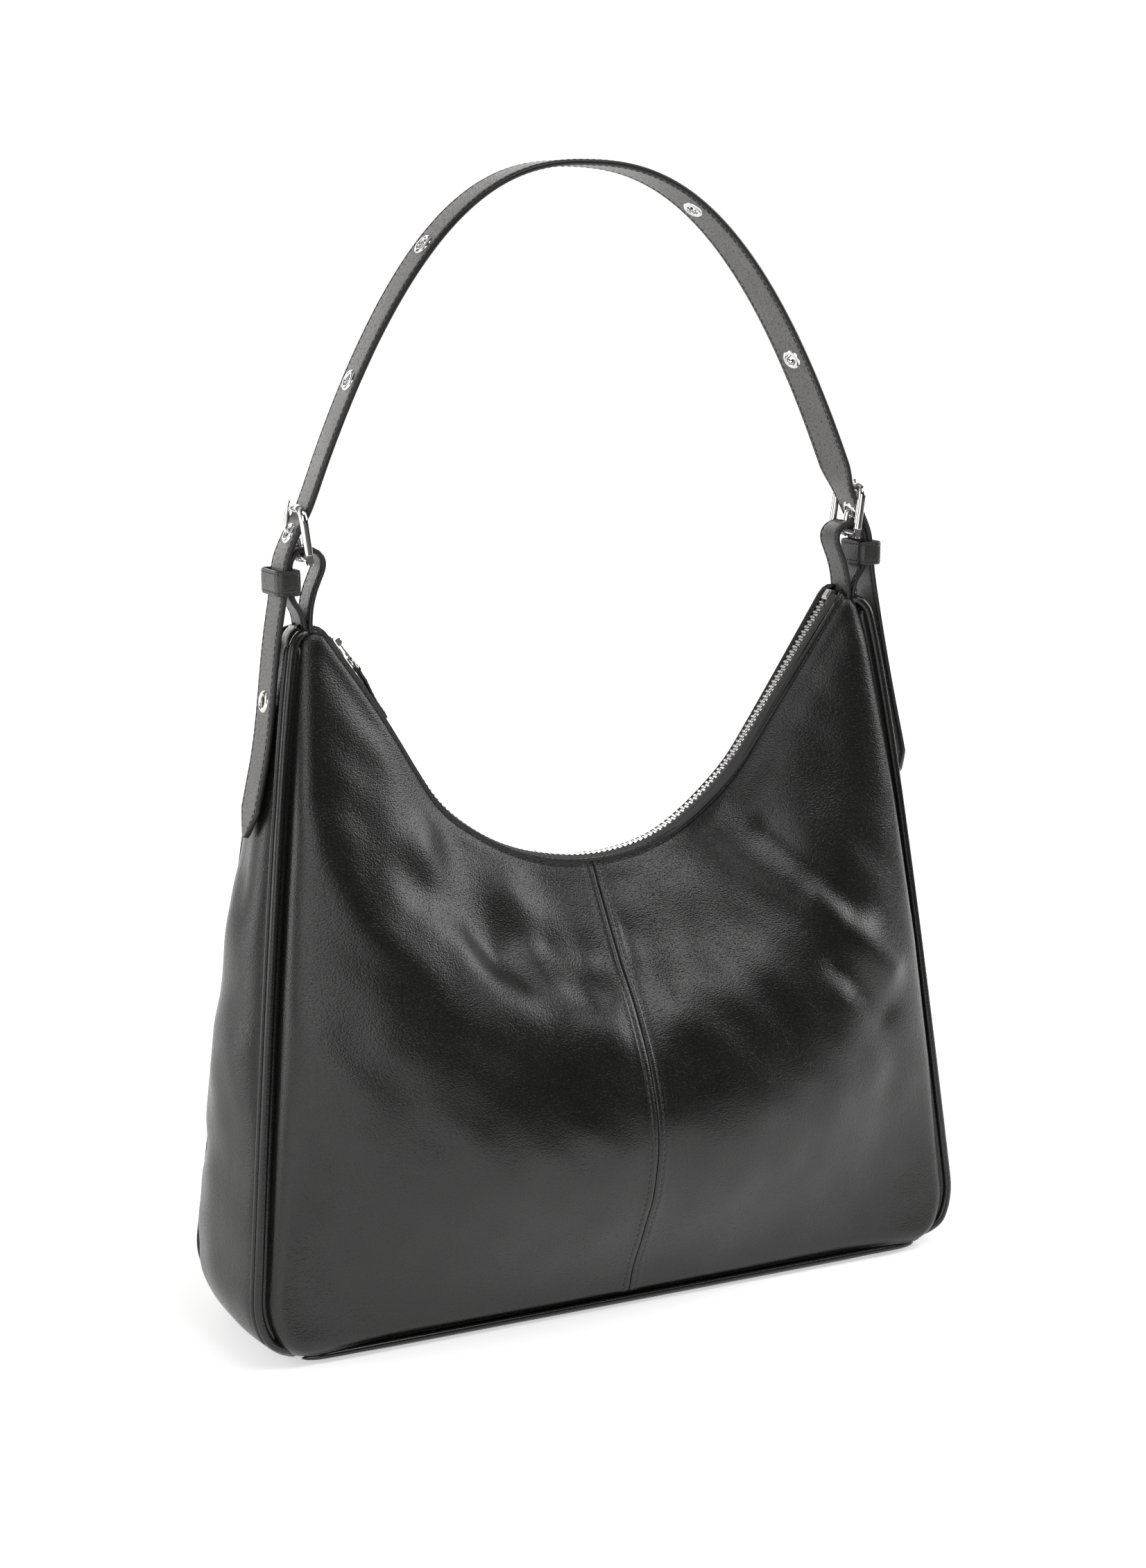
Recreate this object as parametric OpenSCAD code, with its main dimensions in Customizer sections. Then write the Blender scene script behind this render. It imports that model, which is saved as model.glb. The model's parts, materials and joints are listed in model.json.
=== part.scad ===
// Hobo shoulder bag: a soft leather body with a scooped zip opening, tapering side gussets
// and one strap that runs through a buckle at each peak.
// Millimetres. The origin is on the floor under the middle of the bag, +X runs to the right
// of the front, +Y to the back and +Z up. The right half is drawn and mirrored to the left.

/* [Body] */
// Height of the two leather peaks
body_h = 346; // [336:1:356]
// Half width of the front panel across the peaks
peak_x = 153; // [150:1:156]
// Half width of the front panel near the floor
base_x = 191; // [186:1:196]
// Half depth of the body at the peaks
peak_y = 10; // [10:0.5:11]
// Half depth of the body at the floor
base_y = 50; // [46:1:54]
// How far the middle of each big panel swells past its edges
belly = 50; // [40:1:55]
// How far each gusset swells past its edges
gusset_swell = 14; // [10:1:15]
// Thickness of the leather panels
leather_t = 2.2; // [1.8:0.1:2.4]
// Radius of the piping in the long seams
piping_r = 2; // [1.6:0.1:2.1]

/* [Opening] */
// Lowest point of the leather edge of the opening
edge_low = 221; // [216:1:226]
// Radius of the round bottom of the opening
edge_r = 106; // [102:1:110]
// Slope of the straight sides of the opening, in degrees
edge_slope = 56; // [54:0.5:58]

/* [Zip] */
// Distance from one tooth to the next on the same tape
tooth_pitch = 3; // [2.5:0.1:3.5]
// Half width of the closed row of teeth
teeth_y = 2.9; // [2.5:0.1:3]
// Length of the slider
slider_l = 12; // [10:1:14]

/* [Strap] */
// Height of the top of the strap above the floor
strap_top = 559; // [545:1:570]
// Width of the strap
strap_w = 20; // [18:1:20]
// Thickness of the strap
strap_t = 2.6; // [2.2:0.1:2.8]
// Outer radius of each eyelet
eyelet_r = 5.3; // [4.8:0.1:5.5]

/* [Buckle] */
// Outer width of the buckle, across the strap
buckle_w = 29; // [28:0.5:31]
// Distance between the middles of the heel bar and the top bar
buckle_l = 22.5; // [22:0.5:23]
// Radius of the buckle's round bars
bar_r = 2; // [1.8:0.1:2]

/* [Hidden] */
black = "#1d1d1f";
dark = "#141416";
grey = "#37383b";
silver = "#c9c9cc";

// Seams
seam_gap = piping_r + 0.6;      // from the middle of the piping to a panel's edge
panel_low = 5.5;                // bottom edge of the front and back panels
gusset_low = 2.8;               // bottom edge of the gussets
corner_h = 36;                  // height of the rounded bottom corners
corner_in = 33;                 // how far those corners draw in at the floor
side_power = 0.8;               // how the sides curve out from the peaks to the floor
depth_power = 0.9;              // how the seams move apart from the peaks to the floor
swell_mid = 130;                // height at which the gussets swell most
swell_reach = 205;              // and how far above and below that they still swell

// Base and lining
base_t = 2.4;                   // thickness of the base leather
base_margin = 2.2;              // from the base leather to the long seams
base_in = 3;                    // and to the gussets
base_piping_r = 1.6;
board = [330, 86, 2];
board_gap = 0.4;                // between the base leather, the board and the lining on it
lining_t = 0.8;
lining_gap = 1;                 // between a panel and its lining
pocket_gap = 0.6;               // between the back lining and the pocket

// Zip: a round bottom with straight sides, a little above the leather edge
chain_low = edge_low + 0.6;
chain_r = edge_r - 1;
chain_slope = edge_slope - 0.5;
arc_s = chain_r * chain_slope * PI / 180;
straight_s = (body_h - chain_low - chain_r * (1 - cos(chain_slope))) / sin(chain_slope);
chain_s = arc_s + straight_s;   // half length of the zip
tape_t = 0.8;
tape_y = peak_y - 2.1;          // outer edge of each tape
tape_end_s = chain_s - 3.5;     // where the tapes end
box_stop_s = chain_s - 5;
top_stops_s = -(chain_s - 6.5);
last_tooth_s = chain_s - 11;
slider_s = -(chain_s - 14);     // the slider's place on the closed zip
tooth_h = 2.4;
tooth_cross = 0.9;              // how far a tooth reaches past the middle
plate_t = 1.3;                  // thickness of the slider's plates
plate_z = 1.6;                  // from the middle of the teeth to a plate
pin_x = -1;                     // the pull's pin, along the slider
pin_z = 4.7;                    // and above the teeth's middle
pin_r = 0.8;

// Handle: the tabs turn on this line, just above the peaks
pivot_x = peak_x - 6.5;
pivot_z = body_h + 12.5;
tab_t = 2.2;
tab_w = 18;
keeper_h = 12;
keeper_z = 4.4;                 // bottom of the keeper, above the pivot
lean = 7.5;                     // outward lean of the buckle
heel = [0, 20.5];               // heel bar, from the pivot
// Strap beside the bag, as offsets from the pivot: through the buckle, then down to the tip
tail_pts = [[-4.7, 49], [-1.3, 41], [4.2, 31.1], [10, 19.5], [13.6, 8.5], [15.4, -3.5],
    [17.2, -23.5], [20, -45.5], [24, -68.5], [28.6, -88.5], [33, -109.5]];
// Tab loop, as offsets from the pivot, from its inner foot over the heel bar to its outer foot
loop_pts = [[-1.2, 0], [-5.5, 2.2], [-10.5, 7], [-12, 12.5], [-9.5, 19], [-4.5, 23.1], [0.5, 24.2],
    [5, 22.1], [7.8, 17], [8.8, 10.5], [8.2, 4.2], [4.4, 1], [1.2, 0]];
// Arch of the strap: its top stands a little left of the middle
arch_x = -5;
arch_left = 140;
arch_right = 150;
arch_power = 2.4;
arch_foot = pivot_z + 40.5;       // height at which the arch reaches its full width
// Places of the free eyelets: across the arch by x, and on each tail by height
arch_eyelets = [-83, -120, 58, 114];
tail_eyelet = [20, -45.5];
crossing = [4.2, 31.1];         // where the prong goes through the strap
hole_r = 3.4;                   // hole in the strap for an eyelet
barrel_r = 2.75;                // inside an eyelet

// ---------- Shape of the body ----------

function lerp(a, b, t) = a + (b - a) * t;
function unit(v) = v / norm(v);

// Half width and half depth of the body at the gusset seams, at height z
function ridge_x(z) = lerp(peak_x, base_x, pow(max(0, body_h - z) / (body_h - corner_h), side_power))
    - corner_in * (1 - sqrt(1 - pow(max(0, corner_h - z) / corner_h, 2)));
function ridge_y(z) = lerp(peak_y, base_y, pow(max(0, body_h - z) / body_h, depth_power));

// Height of the opening's leather edge at x, rounded over at the peaks
function scoop_z(x) = let (xt = edge_r * sin(edge_slope))
    abs(x) < xt ? edge_low + edge_r - sqrt(edge_r * edge_r - x * x)
                : edge_low + edge_r * (1 - cos(edge_slope)) + (abs(x) - xt) * tan(edge_slope);
function top_z(x) = let (k = 1.5) -k * ln(exp((body_h - scoop_z(x)) / k) + 1) + body_h;

// Front panel: u runs from the middle (0) to the side seam (1), v from the floor (0) to the top (1)
function panel_pt(u, v) = let (zr = lerp(panel_low, body_h, v))
    [u * (ridge_x(zr) - seam_gap),
     -(ridge_y(zr) + belly * pow(sin(180 * pow(v, 0.9)), 1.5) * (1 - pow(abs(u), 3))),
     lerp(panel_low, top_z(u * (peak_x - seam_gap)), v)];
// Right gusset: t runs from the front seam (-1) to the back seam (1)
function gusset_pt(t, v) = let (z = lerp(gusset_low, body_h, v),
        swell = gusset_swell * pow(max(0, 1 - pow((z - swell_mid) / swell_reach, 2)), 1.3))
    [ridge_x(z) + swell * (1 - pow(abs(t), 2.2)), t * (ridge_y(z) - seam_gap), z];

// Outward normals of both surfaces, from two short steps
function panel_normal(u, v) = let (e = 0.002)
    unit(cross(panel_pt(min(u + e, 1), v) - panel_pt(max(u - e, -1), v),
               panel_pt(u, min(v + e, 1)) - panel_pt(u, max(v - e, 0))));
function gusset_normal(t, v) = let (e = 0.002)
    unit(cross(gusset_pt(min(t + e, 1), v) - gusset_pt(max(t - e, -1), v),
               gusset_pt(t, min(v + e, 1)) - gusset_pt(t, max(v - e, 0))));

// Closed solid between two matching grids of points
module slab(outer, inner) {
    n = len(outer) - 1;
    m = len(outer[0]) - 1;
    k = (n + 1) * (m + 1);
    function id(i, j) = i * (m + 1) + j;
    function quad(a, b, c, d) = [[a, b, c], [a, c, d]];
    points = concat([for (row = outer) each row], [for (row = inner) each row]);
    faces = [
        for (i = [0:n - 1], j = [0:m - 1]) each
            quad(id(i, j), id(i, j + 1), id(i + 1, j + 1), id(i + 1, j)),
        for (i = [0:n - 1], j = [0:m - 1]) each
            quad(k + id(i, j), k + id(i + 1, j), k + id(i + 1, j + 1), k + id(i, j + 1)),
        for (j = [0:m - 1]) each quad(id(0, j), k + id(0, j), k + id(0, j + 1), id(0, j + 1)),
        for (j = [0:m - 1]) each quad(id(n, j), id(n, j + 1), k + id(n, j + 1), k + id(n, j)),
        for (i = [0:n - 1]) each quad(id(i, 0), id(i + 1, 0), k + id(i + 1, 0), k + id(i, 0)),
        for (i = [0:n - 1]) each quad(id(i, m), k + id(i, m), k + id(i + 1, m), id(i + 1, m))
    ];
    polyhedron(points, faces, convexity = 8);
}

// Patch of the front panel between two depths under its surface
module panel_patch(u0, u1, v0, v1, depth0, depth1, nu, nv) {
    function grid(depth) = [for (i = [0:nu]) [for (j = [0:nv])
        let (u = lerp(u0, u1, i / nu), v = lerp(v0, v1, j / nv))
        panel_pt(u, v) - panel_normal(u, v) * depth]];
    slab(grid(depth0), grid(depth1));
}

// Round rod along a path
module rod(path, r, sides = 8) {
    n = len(path) - 1;
    function ring(i) = let (t = unit(path[min(i + 1, n)] - path[max(i - 1, 0)]),
            a = unit(cross(t, [0, 1, 0])), b = cross(t, a))
        [for (j = [0:sides - 1]) path[i] + r * (a * cos(360 * j / sides) + b * sin(360 * j / sides))];
    function id(i, j) = i * sides + j % sides;
    faces = concat([[for (j = [0:sides - 1]) id(0, j)]],
        [[for (j = [sides - 1:-1:0]) id(n, j)]],
        [for (i = [0:n - 1], j = [0:sides - 1]) each
            [[id(i, j), id(i + 1, j), id(i + 1, j + 1)], [id(i, j), id(i + 1, j + 1), id(i, j + 1)]]]);
    polyhedron([for (i = [0:n]) each ring(i)], faces, convexity = 8);
}

module left() {
    mirror([1, 0, 0]) children();
}

module back() {
    mirror([0, 1, 0]) children();
}

// ---------- Body ----------

module front_panel_right() {
    color(black) panel_patch(0.001, 1, 0, 1, 0, leather_t, 18, 22);
}

module front_panel_left() {
    left() front_panel_right();
}

module gusset_right() {
    function grid(depth) = [for (i = [0:8]) [for (j = [0:26])
        let (t = lerp(-1, 1, i / 8), v = j / 26)
        gusset_pt(t, v) - gusset_normal(t, v) * depth]];
    color(black) slab(grid(0), grid(leather_t));
}

module base_panel() {
    end = [for (t = [-1:0.1:1]) [gusset_pt(t, 0).x - base_in, t * (base_y - base_margin)]];
    color(black) linear_extrude(base_t)
        polygon(concat(end, [for (i = [len(end) - 1:-1:0]) [-end[i].x, end[i].y]]));
}

// Stiff board that keeps the base flat
module base_board() {
    color("#8c7350") translate([-board.x / 2, -board.y / 2, base_t + board_gap]) cube(board);
}

module piping_front_right() {
    low = 8;
    high = body_h - 1.8;
    color(black) rod([for (i = [0:30]) let (z = lerp(low, high, i / 30))
        [ridge_x(z), -ridge_y(z), z]], piping_r);
}

module piping_base_front() {
    color(dark) translate([0, -base_y - 0.3, panel_low - base_piping_r - 0.4]) rotate([0, 90, 0])
        cylinder(h = 2 * (ridge_x(panel_low) - 4), r = base_piping_r, center = true, $fn = 24);
}

module lining_front() {
    depth = leather_t + lining_gap;
    color("#5b5650") panel_patch(-0.96, 0.96, 0.02, 0.92, depth, depth + lining_t, 28, 16);
}

module lining_base() {
    size = [board.x - 4, board.y - 2, lining_t];
    color("#5b5650") translate([-size.x / 2, -size.y / 2, base_t + board.z + 2 * board_gap]) cube(size);
}

// Flat slip pocket on the back lining
module inner_pocket() {
    depth = leather_t + lining_gap + lining_t + pocket_gap;
    color("#4e4944") back() panel_patch(-0.5, 0.5, 0.42, 0.82, depth, depth + lining_t, 14, 8);
}

// ---------- Zip ----------

// Point and slope of the row of teeth, s millimetres along it from the middle
function chain_pt(s) = abs(s) <= arc_s
    ? let (q = s / arc_s * chain_slope) [chain_r * sin(q), 0, chain_low + chain_r * (1 - cos(q))]
    : let (d = abs(s) - arc_s)
        [sign(s) * (chain_r * sin(chain_slope) + d * cos(chain_slope)), 0,
         chain_low + chain_r * (1 - cos(chain_slope)) + d * sin(chain_slope)];
function chain_tilt(s) = max(-1, min(1, s / arc_s)) * chain_slope;

module on_chain(s) {
    translate(chain_pt(s)) rotate([0, -chain_tilt(s), 0]) children();
}

// Each tape slopes from the teeth down to the leather edge
module zip_tape_front() {
    n = 56;
    function row(s, dz) = let (q = chain_tilt(s), up = [-sin(q), 0, cos(q)],
            drop = lerp(1.8, 4, min(1, abs(s) / arc_s)))
        [chain_pt(s) + [0, -tape_y, 0] + up * (dz - drop), chain_pt(s) + [0, -teeth_y - 0.15, 0] + up * dz];
    color(grey) slab([for (i = [0:n]) row(lerp(-tape_end_s, tape_end_s, i / n), tape_t / 2)],
                     [for (i = [0:n]) row(lerp(-tape_end_s, tape_end_s, i / n), -tape_t / 2)]);
}

// Teeth of one tape; the other tape's teeth sit half a pitch further on
module teeth(side, shift) {
    last = floor(last_tooth_s / tooth_pitch);
    tooth_l = 0.42 * tooth_pitch;
    color(silver) for (i = [-last:last]) on_chain((i + shift) * tooth_pitch)
        translate([-tooth_l / 2, side > 0 ? -tooth_cross : -teeth_y, -tooth_h / 2])
            cube([tooth_l, teeth_y + tooth_cross, tooth_h]);
}

module zip_box_stop() {
    size = [6, 2 * teeth_y, 3.6];
    color(silver) on_chain(box_stop_s) translate([-size.x / 2, -size.y / 2, -1.6]) cube(size);
}

module zip_top_stops() {
    size = [2.4, 2.2, tooth_h];
    color(silver) for (side = [-1, 1]) on_chain(top_stops_s)
        translate([-size.x / 2, side * 1.6 - size.y / 2, -size.z / 2]) cube(size);
}

module at_slider() {
    on_chain(slider_s) children();
}

// Top and bottom plates around the teeth, and two ears with the pull's pin
module zip_slider() {
    plate_w = 2 * teeth_y + 3;
    wall = 1;
    ear_y = 2.3;
    module plate() {
        translate([-slider_l / 2, -plate_w / 2, plate_z]) cube([slider_l, plate_w, plate_t]);
    }
    color(silver) at_slider() {
        plate();
        mirror([0, 0, 1]) plate();
        for (side = [-1, 1]) {
            translate([-slider_l / 2, side * (plate_w - wall) / 2 - wall / 2, plate_z - 0.8])
                cube([slider_l, wall, 0.8]);
            translate([pin_x - 1.7, side * ear_y - wall / 2, plate_z + plate_t]) cube([3.4, wall, 3.3]);
        }
        translate([pin_x, 0, pin_z]) rotate([90, 0, 0])
            cylinder(h = 2 * ear_y - 0.4, r = pin_r, center = true, $fn = 24);
    }
}

// Metal link with an eye on the pin and a ring at its free end
module zip_pull() {
    link = [10, 3, 1.4];
    ring_x = 12;
    color(silver) at_slider() translate([0, 0, pin_z]) difference() {
        union() {
            translate([pin_x, 0, 0]) rotate([90, 0, 0])
                cylinder(h = link.y, r = 1.75, center = true, $fn = 32);
            translate([pin_x, -link.y / 2, -link.z / 2]) cube(link);
            translate([ring_x, 0, 0]) cylinder(h = link.z, r = 4.2, center = true, $fn = 32);
        }
        translate([pin_x, 0, 0]) rotate([90, 0, 0])
            cylinder(h = link.y + 1, r = pin_r + 0.06, center = true, $fn = 32);
        translate([ring_x, 0, 0]) cylinder(h = link.z + 0.6, r = 3, center = true, $fn = 32);
    }
}

// Leather tab, looped through the ring by its narrow neck
module zip_pull_tab() {
    thick = 3.4;
    eye = [2.3, 6, 1.9];
    color(black) at_slider() translate([0, 0, pin_z]) difference() {
        translate([0, 0, -thick / 2]) linear_extrude(thick)
            polygon([[13, -1.6], [18.4, -1.6], [21.5, -4.4], [41, -4.4], [44, -2.4],
                     [44, 2.4], [41, 4.4], [21.5, 4.4], [18.4, 1.6], [13, 1.6]]);
        translate([14.3, -eye.y / 2, -eye.z / 2]) cube(eye);
    }
}

// ---------- Handle ----------

// Smooth curve through points, n steps from each to the next
function curve(p, n) = let (k = len(p) - 1)
    [for (i = [0:k - 1], j = [0:n - 1]) let (t = j / n,
        a = i > 0 ? p[i - 1] : 2 * p[0] - p[1], b = p[i], c = p[i + 1],
        d = i < k - 1 ? p[i + 2] : 2 * p[k] - p[k - 1])
        b + ((c - a) * t + (2 * a - 5 * b + 4 * c - d) * t * t + (3 * b - a - 3 * c + d) * t * t * t) / 2,
     p[k]];

// Closed outline of thickness t around a flat path
function ribbon(path, t) = let (n = len(path) - 1,
        side = [for (i = [0:n]) let (d = unit(path[min(i + 1, n)] - path[max(i - 1, 0)])) [-d.y, d.x] * t / 2])
    concat([for (i = [0:n]) path[i] + side[i]], [for (i = [n:-1:0]) path[i] - side[i]]);

function flip(p) = [-p.x, p.y];
function reversed(list) = [for (i = [len(list) - 1:-1:0]) list[i]];

// Extrude a flat (x, z) outline across the strap's width
module across(w) {
    rotate([90, 0, 0]) linear_extrude(w, center = true) children();
}

module at_pivot() {
    translate([pivot_x, 0, pivot_z]) children();
}

// Whole path of the strap in (x, z): left tip, left buckle, arch, right buckle, right tip
function arch_z(x) = strap_top - (strap_top - arch_foot)
    * pow(abs(x - arch_x) / (x < arch_x ? arch_left : arch_right), arch_power);
tail = [for (p = curve(tail_pts, 4)) p + [pivot_x, pivot_z]];
arch_end = 136;
arch = [for (i = [0:44]) let (x = arch_end * sin(lerp(-90, 90, i / 44))) [x, arch_z(x)]];
strap_path = concat([for (p = reversed(tail)) flip(p)], arch, tail);

// Move the children to a point of the strap, with +Z along the strap's outward face
module on_strap(at, dir) {
    translate([at.x, 0, at.y]) rotate([0, atan2(dir.x, dir.y) - 90, 0]) children();
}

// One place for each eyelet: [point, direction along the strap]
function arch_place(x) = [[x, arch_z(x)], unit([0.2, arch_z(x + 0.1) - arch_z(x - 0.1)])];
function tail_place(at, dir) = [[pivot_x, pivot_z] + at, unit(dir)];
tail_dir = tail_pts[8] - tail_pts[6];
crossing_dir = tail_pts[3] - tail_pts[1];
right_places = [tail_place(tail_eyelet, tail_dir), tail_place(crossing, crossing_dir)];
eyelet_places = concat([for (x = arch_eyelets) arch_place(x)], right_places,
    [for (p = right_places) [flip(p[0]), flip(p[1])]]);

module strap() {
    tip_h = 12;
    tip = tail_pts[len(tail_pts) - 1];
    wide = strap_w / 2 + 1;
    color(black) difference() {
        across(strap_w) polygon(ribbon(strap_path, strap_t));
        for (e = eyelet_places) on_strap(e[0], e[1]) cylinder(h = 12, r = hole_r, center = true, $fn = 32);
        // the two tails end in a point
        for (sx = [-1, 1], sy = [-1, 1])
            translate([sx * (pivot_x + tip.x), 0, pivot_z + tip.y]) rotate([90, 0, 90])
                linear_extrude(30, center = true)
                    polygon([[0, -4], [sy * 2, 0], [sy * wide, tip_h + 4], [sy * wide, -4]]);
    }
}

// Metal rings, each with a flange on both faces of the strap
module eyelets() {
    half = strap_t / 2 + 0.3;
    rim = 0.6;
    color(silver) for (e = eyelet_places) on_strap(e[0], e[1]) rotate_extrude($fn = 32) {
        translate([barrel_r, -half - rim]) square([0.5, 2 * (half + rim)]);
        for (z = [-half - rim, half]) translate([barrel_r, z]) square([eyelet_r - barrel_r, rim]);
    }
}

// Leather loop that holds the heel bar, with a slot for the prong and a round foot to turn on
module tab_right() {
    foot_l = 4.8;
    slot = [9.5, 4.8, 8];
    color(black) at_pivot() difference() {
        union() {
            across(tab_w) polygon(ribbon(curve(loop_pts, 4), tab_t));
            rotate([0, 90, 0]) cylinder(h = foot_l, r = tab_w / 2, center = true, $fn = 48);
        }
        translate([-3.5, -slot.y / 2, 20]) cube(slot);
    }
}

// Sewn-in end of the tab, inside the peak
module tab_root_right() {
    size = [5.2, 12.4, 25.1];
    color(black) translate([pivot_x - size.x / 2, -size.y / 2, body_h - 22]) cube(size);
}

// Leather loop around the tail and the outer side of the tab
module keeper_right() {
    wall = 1.4;
    low = [4.6, -strap_w / 2 - 0.3];
    high = [17, strap_w / 2 + 0.3];
    size = high - low;
    color(black) at_pivot() translate([low.x, low.y, keeper_z]) difference() {
        translate([-wall, -wall, 0]) cube([size.x + 2 * wall, size.y + 2 * wall, keeper_h]);
        translate([0, 0, -1]) cube([size.x, size.y, keeper_h + 2]);
    }
}

// Put the children on the heel bar, with +Z towards the top bar
module at_heel() {
    at_pivot() translate([heel.x, 0, heel.y]) rotate([0, lean, 0]) children();
}

module buckle_right() {
    side_y = buckle_w / 2 - bar_r;
    corner = 5;
    color(silver) at_heel() {
        for (sy = [-1, 1]) {
            translate([0, sy * side_y, -bar_r]) cylinder(h = buckle_l - corner + bar_r, r = bar_r, $fn = 32);
            translate([0, sy * (side_y - corner), buckle_l - corner]) rotate([90, 0, 90])
                rotate([0, 0, sy > 0 ? 0 : 90]) rotate_extrude(angle = 90, $fn = 64)
                    translate([corner, 0]) circle(bar_r, $fn = 32);
        }
        rotate([90, 0, 0]) cylinder(h = 2 * side_y, r = bar_r - 0.2, center = true, $fn = 32);
        translate([0, 0, buckle_l]) rotate([90, 0, 0])
            cylinder(h = 2 * (side_y - corner), r = bar_r, center = true, $fn = 32);
    }
}

// Pin that turns on the heel bar, goes out through the eyelet and rests on the top bar
module prong_right() {
    path = [[0.4, 22.7], [1.2, 28.7], [1.9, 29.9], [6.4, 32.3], [7, 33.5], [6.3, 42.5], [5.7, 46.1]];
    wide = 3;
    thick = 2;
    color(silver) at_pivot() difference() {
        union() {
            across(wide) polygon(ribbon(path, thick));
            translate([heel.x, 0, heel.y]) rotate([90, 0, 0])
                cylinder(h = wide, r = bar_r + 1.3, center = true, $fn = 32);
        }
        translate([heel.x, 0, heel.y]) rotate([90, 0, 0])
            cylinder(h = wide + 1, r = bar_r - 0.14, center = true, $fn = 32);
    }
}

// ---------- Nodes ----------

front_panel_left();
front_panel_right();
back() front_panel_left();  // back_panel_left
back() front_panel_right();  // back_panel_right
left() gusset_right();  // gusset_left
gusset_right();
base_panel();
base_board();
left() piping_front_right();  // piping_front_left
piping_front_right();
left() back() piping_front_right();  // piping_back_left
back() piping_front_right();  // piping_back_right
piping_base_front();
back() piping_base_front();  // piping_base_back
lining_front();
back() lining_front();  // lining_back
lining_base();
inner_pocket();
zip_tape_front();
back() zip_tape_front();  // zip_tape_back
teeth(-1, 0);  // zip_teeth_front
teeth(1, 0.5);  // zip_teeth_back
zip_box_stop();
zip_top_stops();
zip_slider();
zip_pull();
zip_pull_tab();
left() tab_root_right();  // tab_root_left
tab_root_right();
left() tab_right();  // tab_left
tab_right();
left() keeper_right();  // keeper_left
keeper_right();
left() buckle_right();  // buckle_left
buckle_right();
left() prong_right();  // prong_left
prong_right();
strap();
eyelets();
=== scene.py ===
"""Hobo shoulder bag: leather, thread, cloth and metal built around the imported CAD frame.

Shapes are worked out in millimetres, with +X to the right of the front, +Y to the back and +Z up,
from the same driving dimensions as the CAD part. build() turns them into metres.
"""

import json
import math

import bmesh
import bpy
import numpy as np
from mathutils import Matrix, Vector


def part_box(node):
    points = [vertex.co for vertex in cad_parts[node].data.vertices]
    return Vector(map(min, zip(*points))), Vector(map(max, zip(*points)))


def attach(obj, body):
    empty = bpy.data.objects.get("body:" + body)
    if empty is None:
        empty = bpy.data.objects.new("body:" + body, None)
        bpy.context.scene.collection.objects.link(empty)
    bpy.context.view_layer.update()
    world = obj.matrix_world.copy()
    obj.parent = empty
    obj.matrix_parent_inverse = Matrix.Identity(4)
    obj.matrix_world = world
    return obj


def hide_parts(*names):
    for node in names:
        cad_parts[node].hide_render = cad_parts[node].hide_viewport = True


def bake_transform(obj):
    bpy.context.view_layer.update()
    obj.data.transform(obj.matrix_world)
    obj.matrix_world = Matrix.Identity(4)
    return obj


MM = 0.001
PI = math.pi

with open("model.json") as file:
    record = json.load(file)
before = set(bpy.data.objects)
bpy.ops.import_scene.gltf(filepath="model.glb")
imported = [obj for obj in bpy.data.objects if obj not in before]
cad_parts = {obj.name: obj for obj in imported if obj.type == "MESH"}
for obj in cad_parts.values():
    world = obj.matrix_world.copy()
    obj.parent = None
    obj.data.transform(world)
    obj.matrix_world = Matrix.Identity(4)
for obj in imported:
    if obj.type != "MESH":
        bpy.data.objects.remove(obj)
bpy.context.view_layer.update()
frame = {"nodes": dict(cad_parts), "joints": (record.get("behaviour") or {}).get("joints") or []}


def box_mm(node):
    """Lowest and highest corner of a CAD node, in millimetres."""
    low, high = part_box(node)
    return np.array(low) / MM, np.array(high) / MM


def joint_mm(name):
    """Place of a joint, in millimetres."""
    joint = next(j for j in frame["joints"] if j["name"] == name)
    return np.array(joint["pos_m"]) / MM


# ---------- Driving dimensions ----------

# Body
BODY_H = box_mm("gusset_right")[1][2]
PEAK_X = 153  # half width of the front panel across the peaks
BASE_X = 191  # and near the floor
PEAK_Y = 10  # half depth of the body at the peaks
BASE_Y = 50  # and at the floor
BELLY = 50  # how far the big panels swell past their edges
GUSSET_SWELL = 14
CORNER_H = 36  # height of the rounded bottom corners
CORNER_IN = 33  # how far they draw in at the floor
SEAM_GAP = 2.6  # from the middle of the piping to a panel's edge
PANEL_LOW = 5.5
GUSSET_LOW = 2.8
LEATHER_T = 2.2
TURNED_T = 3.0  # where the leather is folded over at the opening
PIPING_R = 2.0
BASE_PIPING_R = 1.6

# Opening
EDGE_LOW = 221
EDGE_R = 106
EDGE_SLOPE = math.radians(56)
ROUNDING = 1.5  # how softly the edge turns over at the peaks

# Zip
CHAIN_LOW = EDGE_LOW + 0.6
CHAIN_R = EDGE_R - 1
CHAIN_SLOPE = math.radians(55.5)
ARC_S = CHAIN_R * CHAIN_SLOPE
CHAIN_RISE = BODY_H - CHAIN_LOW - CHAIN_R * (1 - math.cos(CHAIN_SLOPE))
CHAIN_S = ARC_S + CHAIN_RISE / math.sin(CHAIN_SLOPE)  # half length of the zip
TOOTH_PITCH = 3.0
TEETH_Y = 2.9
TAPE_Y = PEAK_Y - 2.1
SLIDER_S = -(CHAIN_S - 14)
PIN_Z = 4.7  # height of the pull's pin above the middle of the teeth

# Handle
PIVOT_Z = joint_mm("handle_swing")[2]
HEEL = joint_mm("buckle_right_rock")  # heel bar of the right buckle
PIVOT_X = HEEL[0]
STRAP_TOP = 559
STRAP_W = 20
STRAP_T = 2.6
EYELET_R = 5.3
HOLE_R = 3.2
LEAN = math.radians(7.5)  # outward lean of the buckles
BUCKLE_W = 29
BUCKLE_L = 22.5
BAR_R = 2.0

STITCH_IN = 2.0  # from a strap's edge to its stitches
THREAD = 0.58  # thickness


# ---------- Curves and grids ----------


def lerp(a, b, t):
    return a + (b - a) * t


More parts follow.
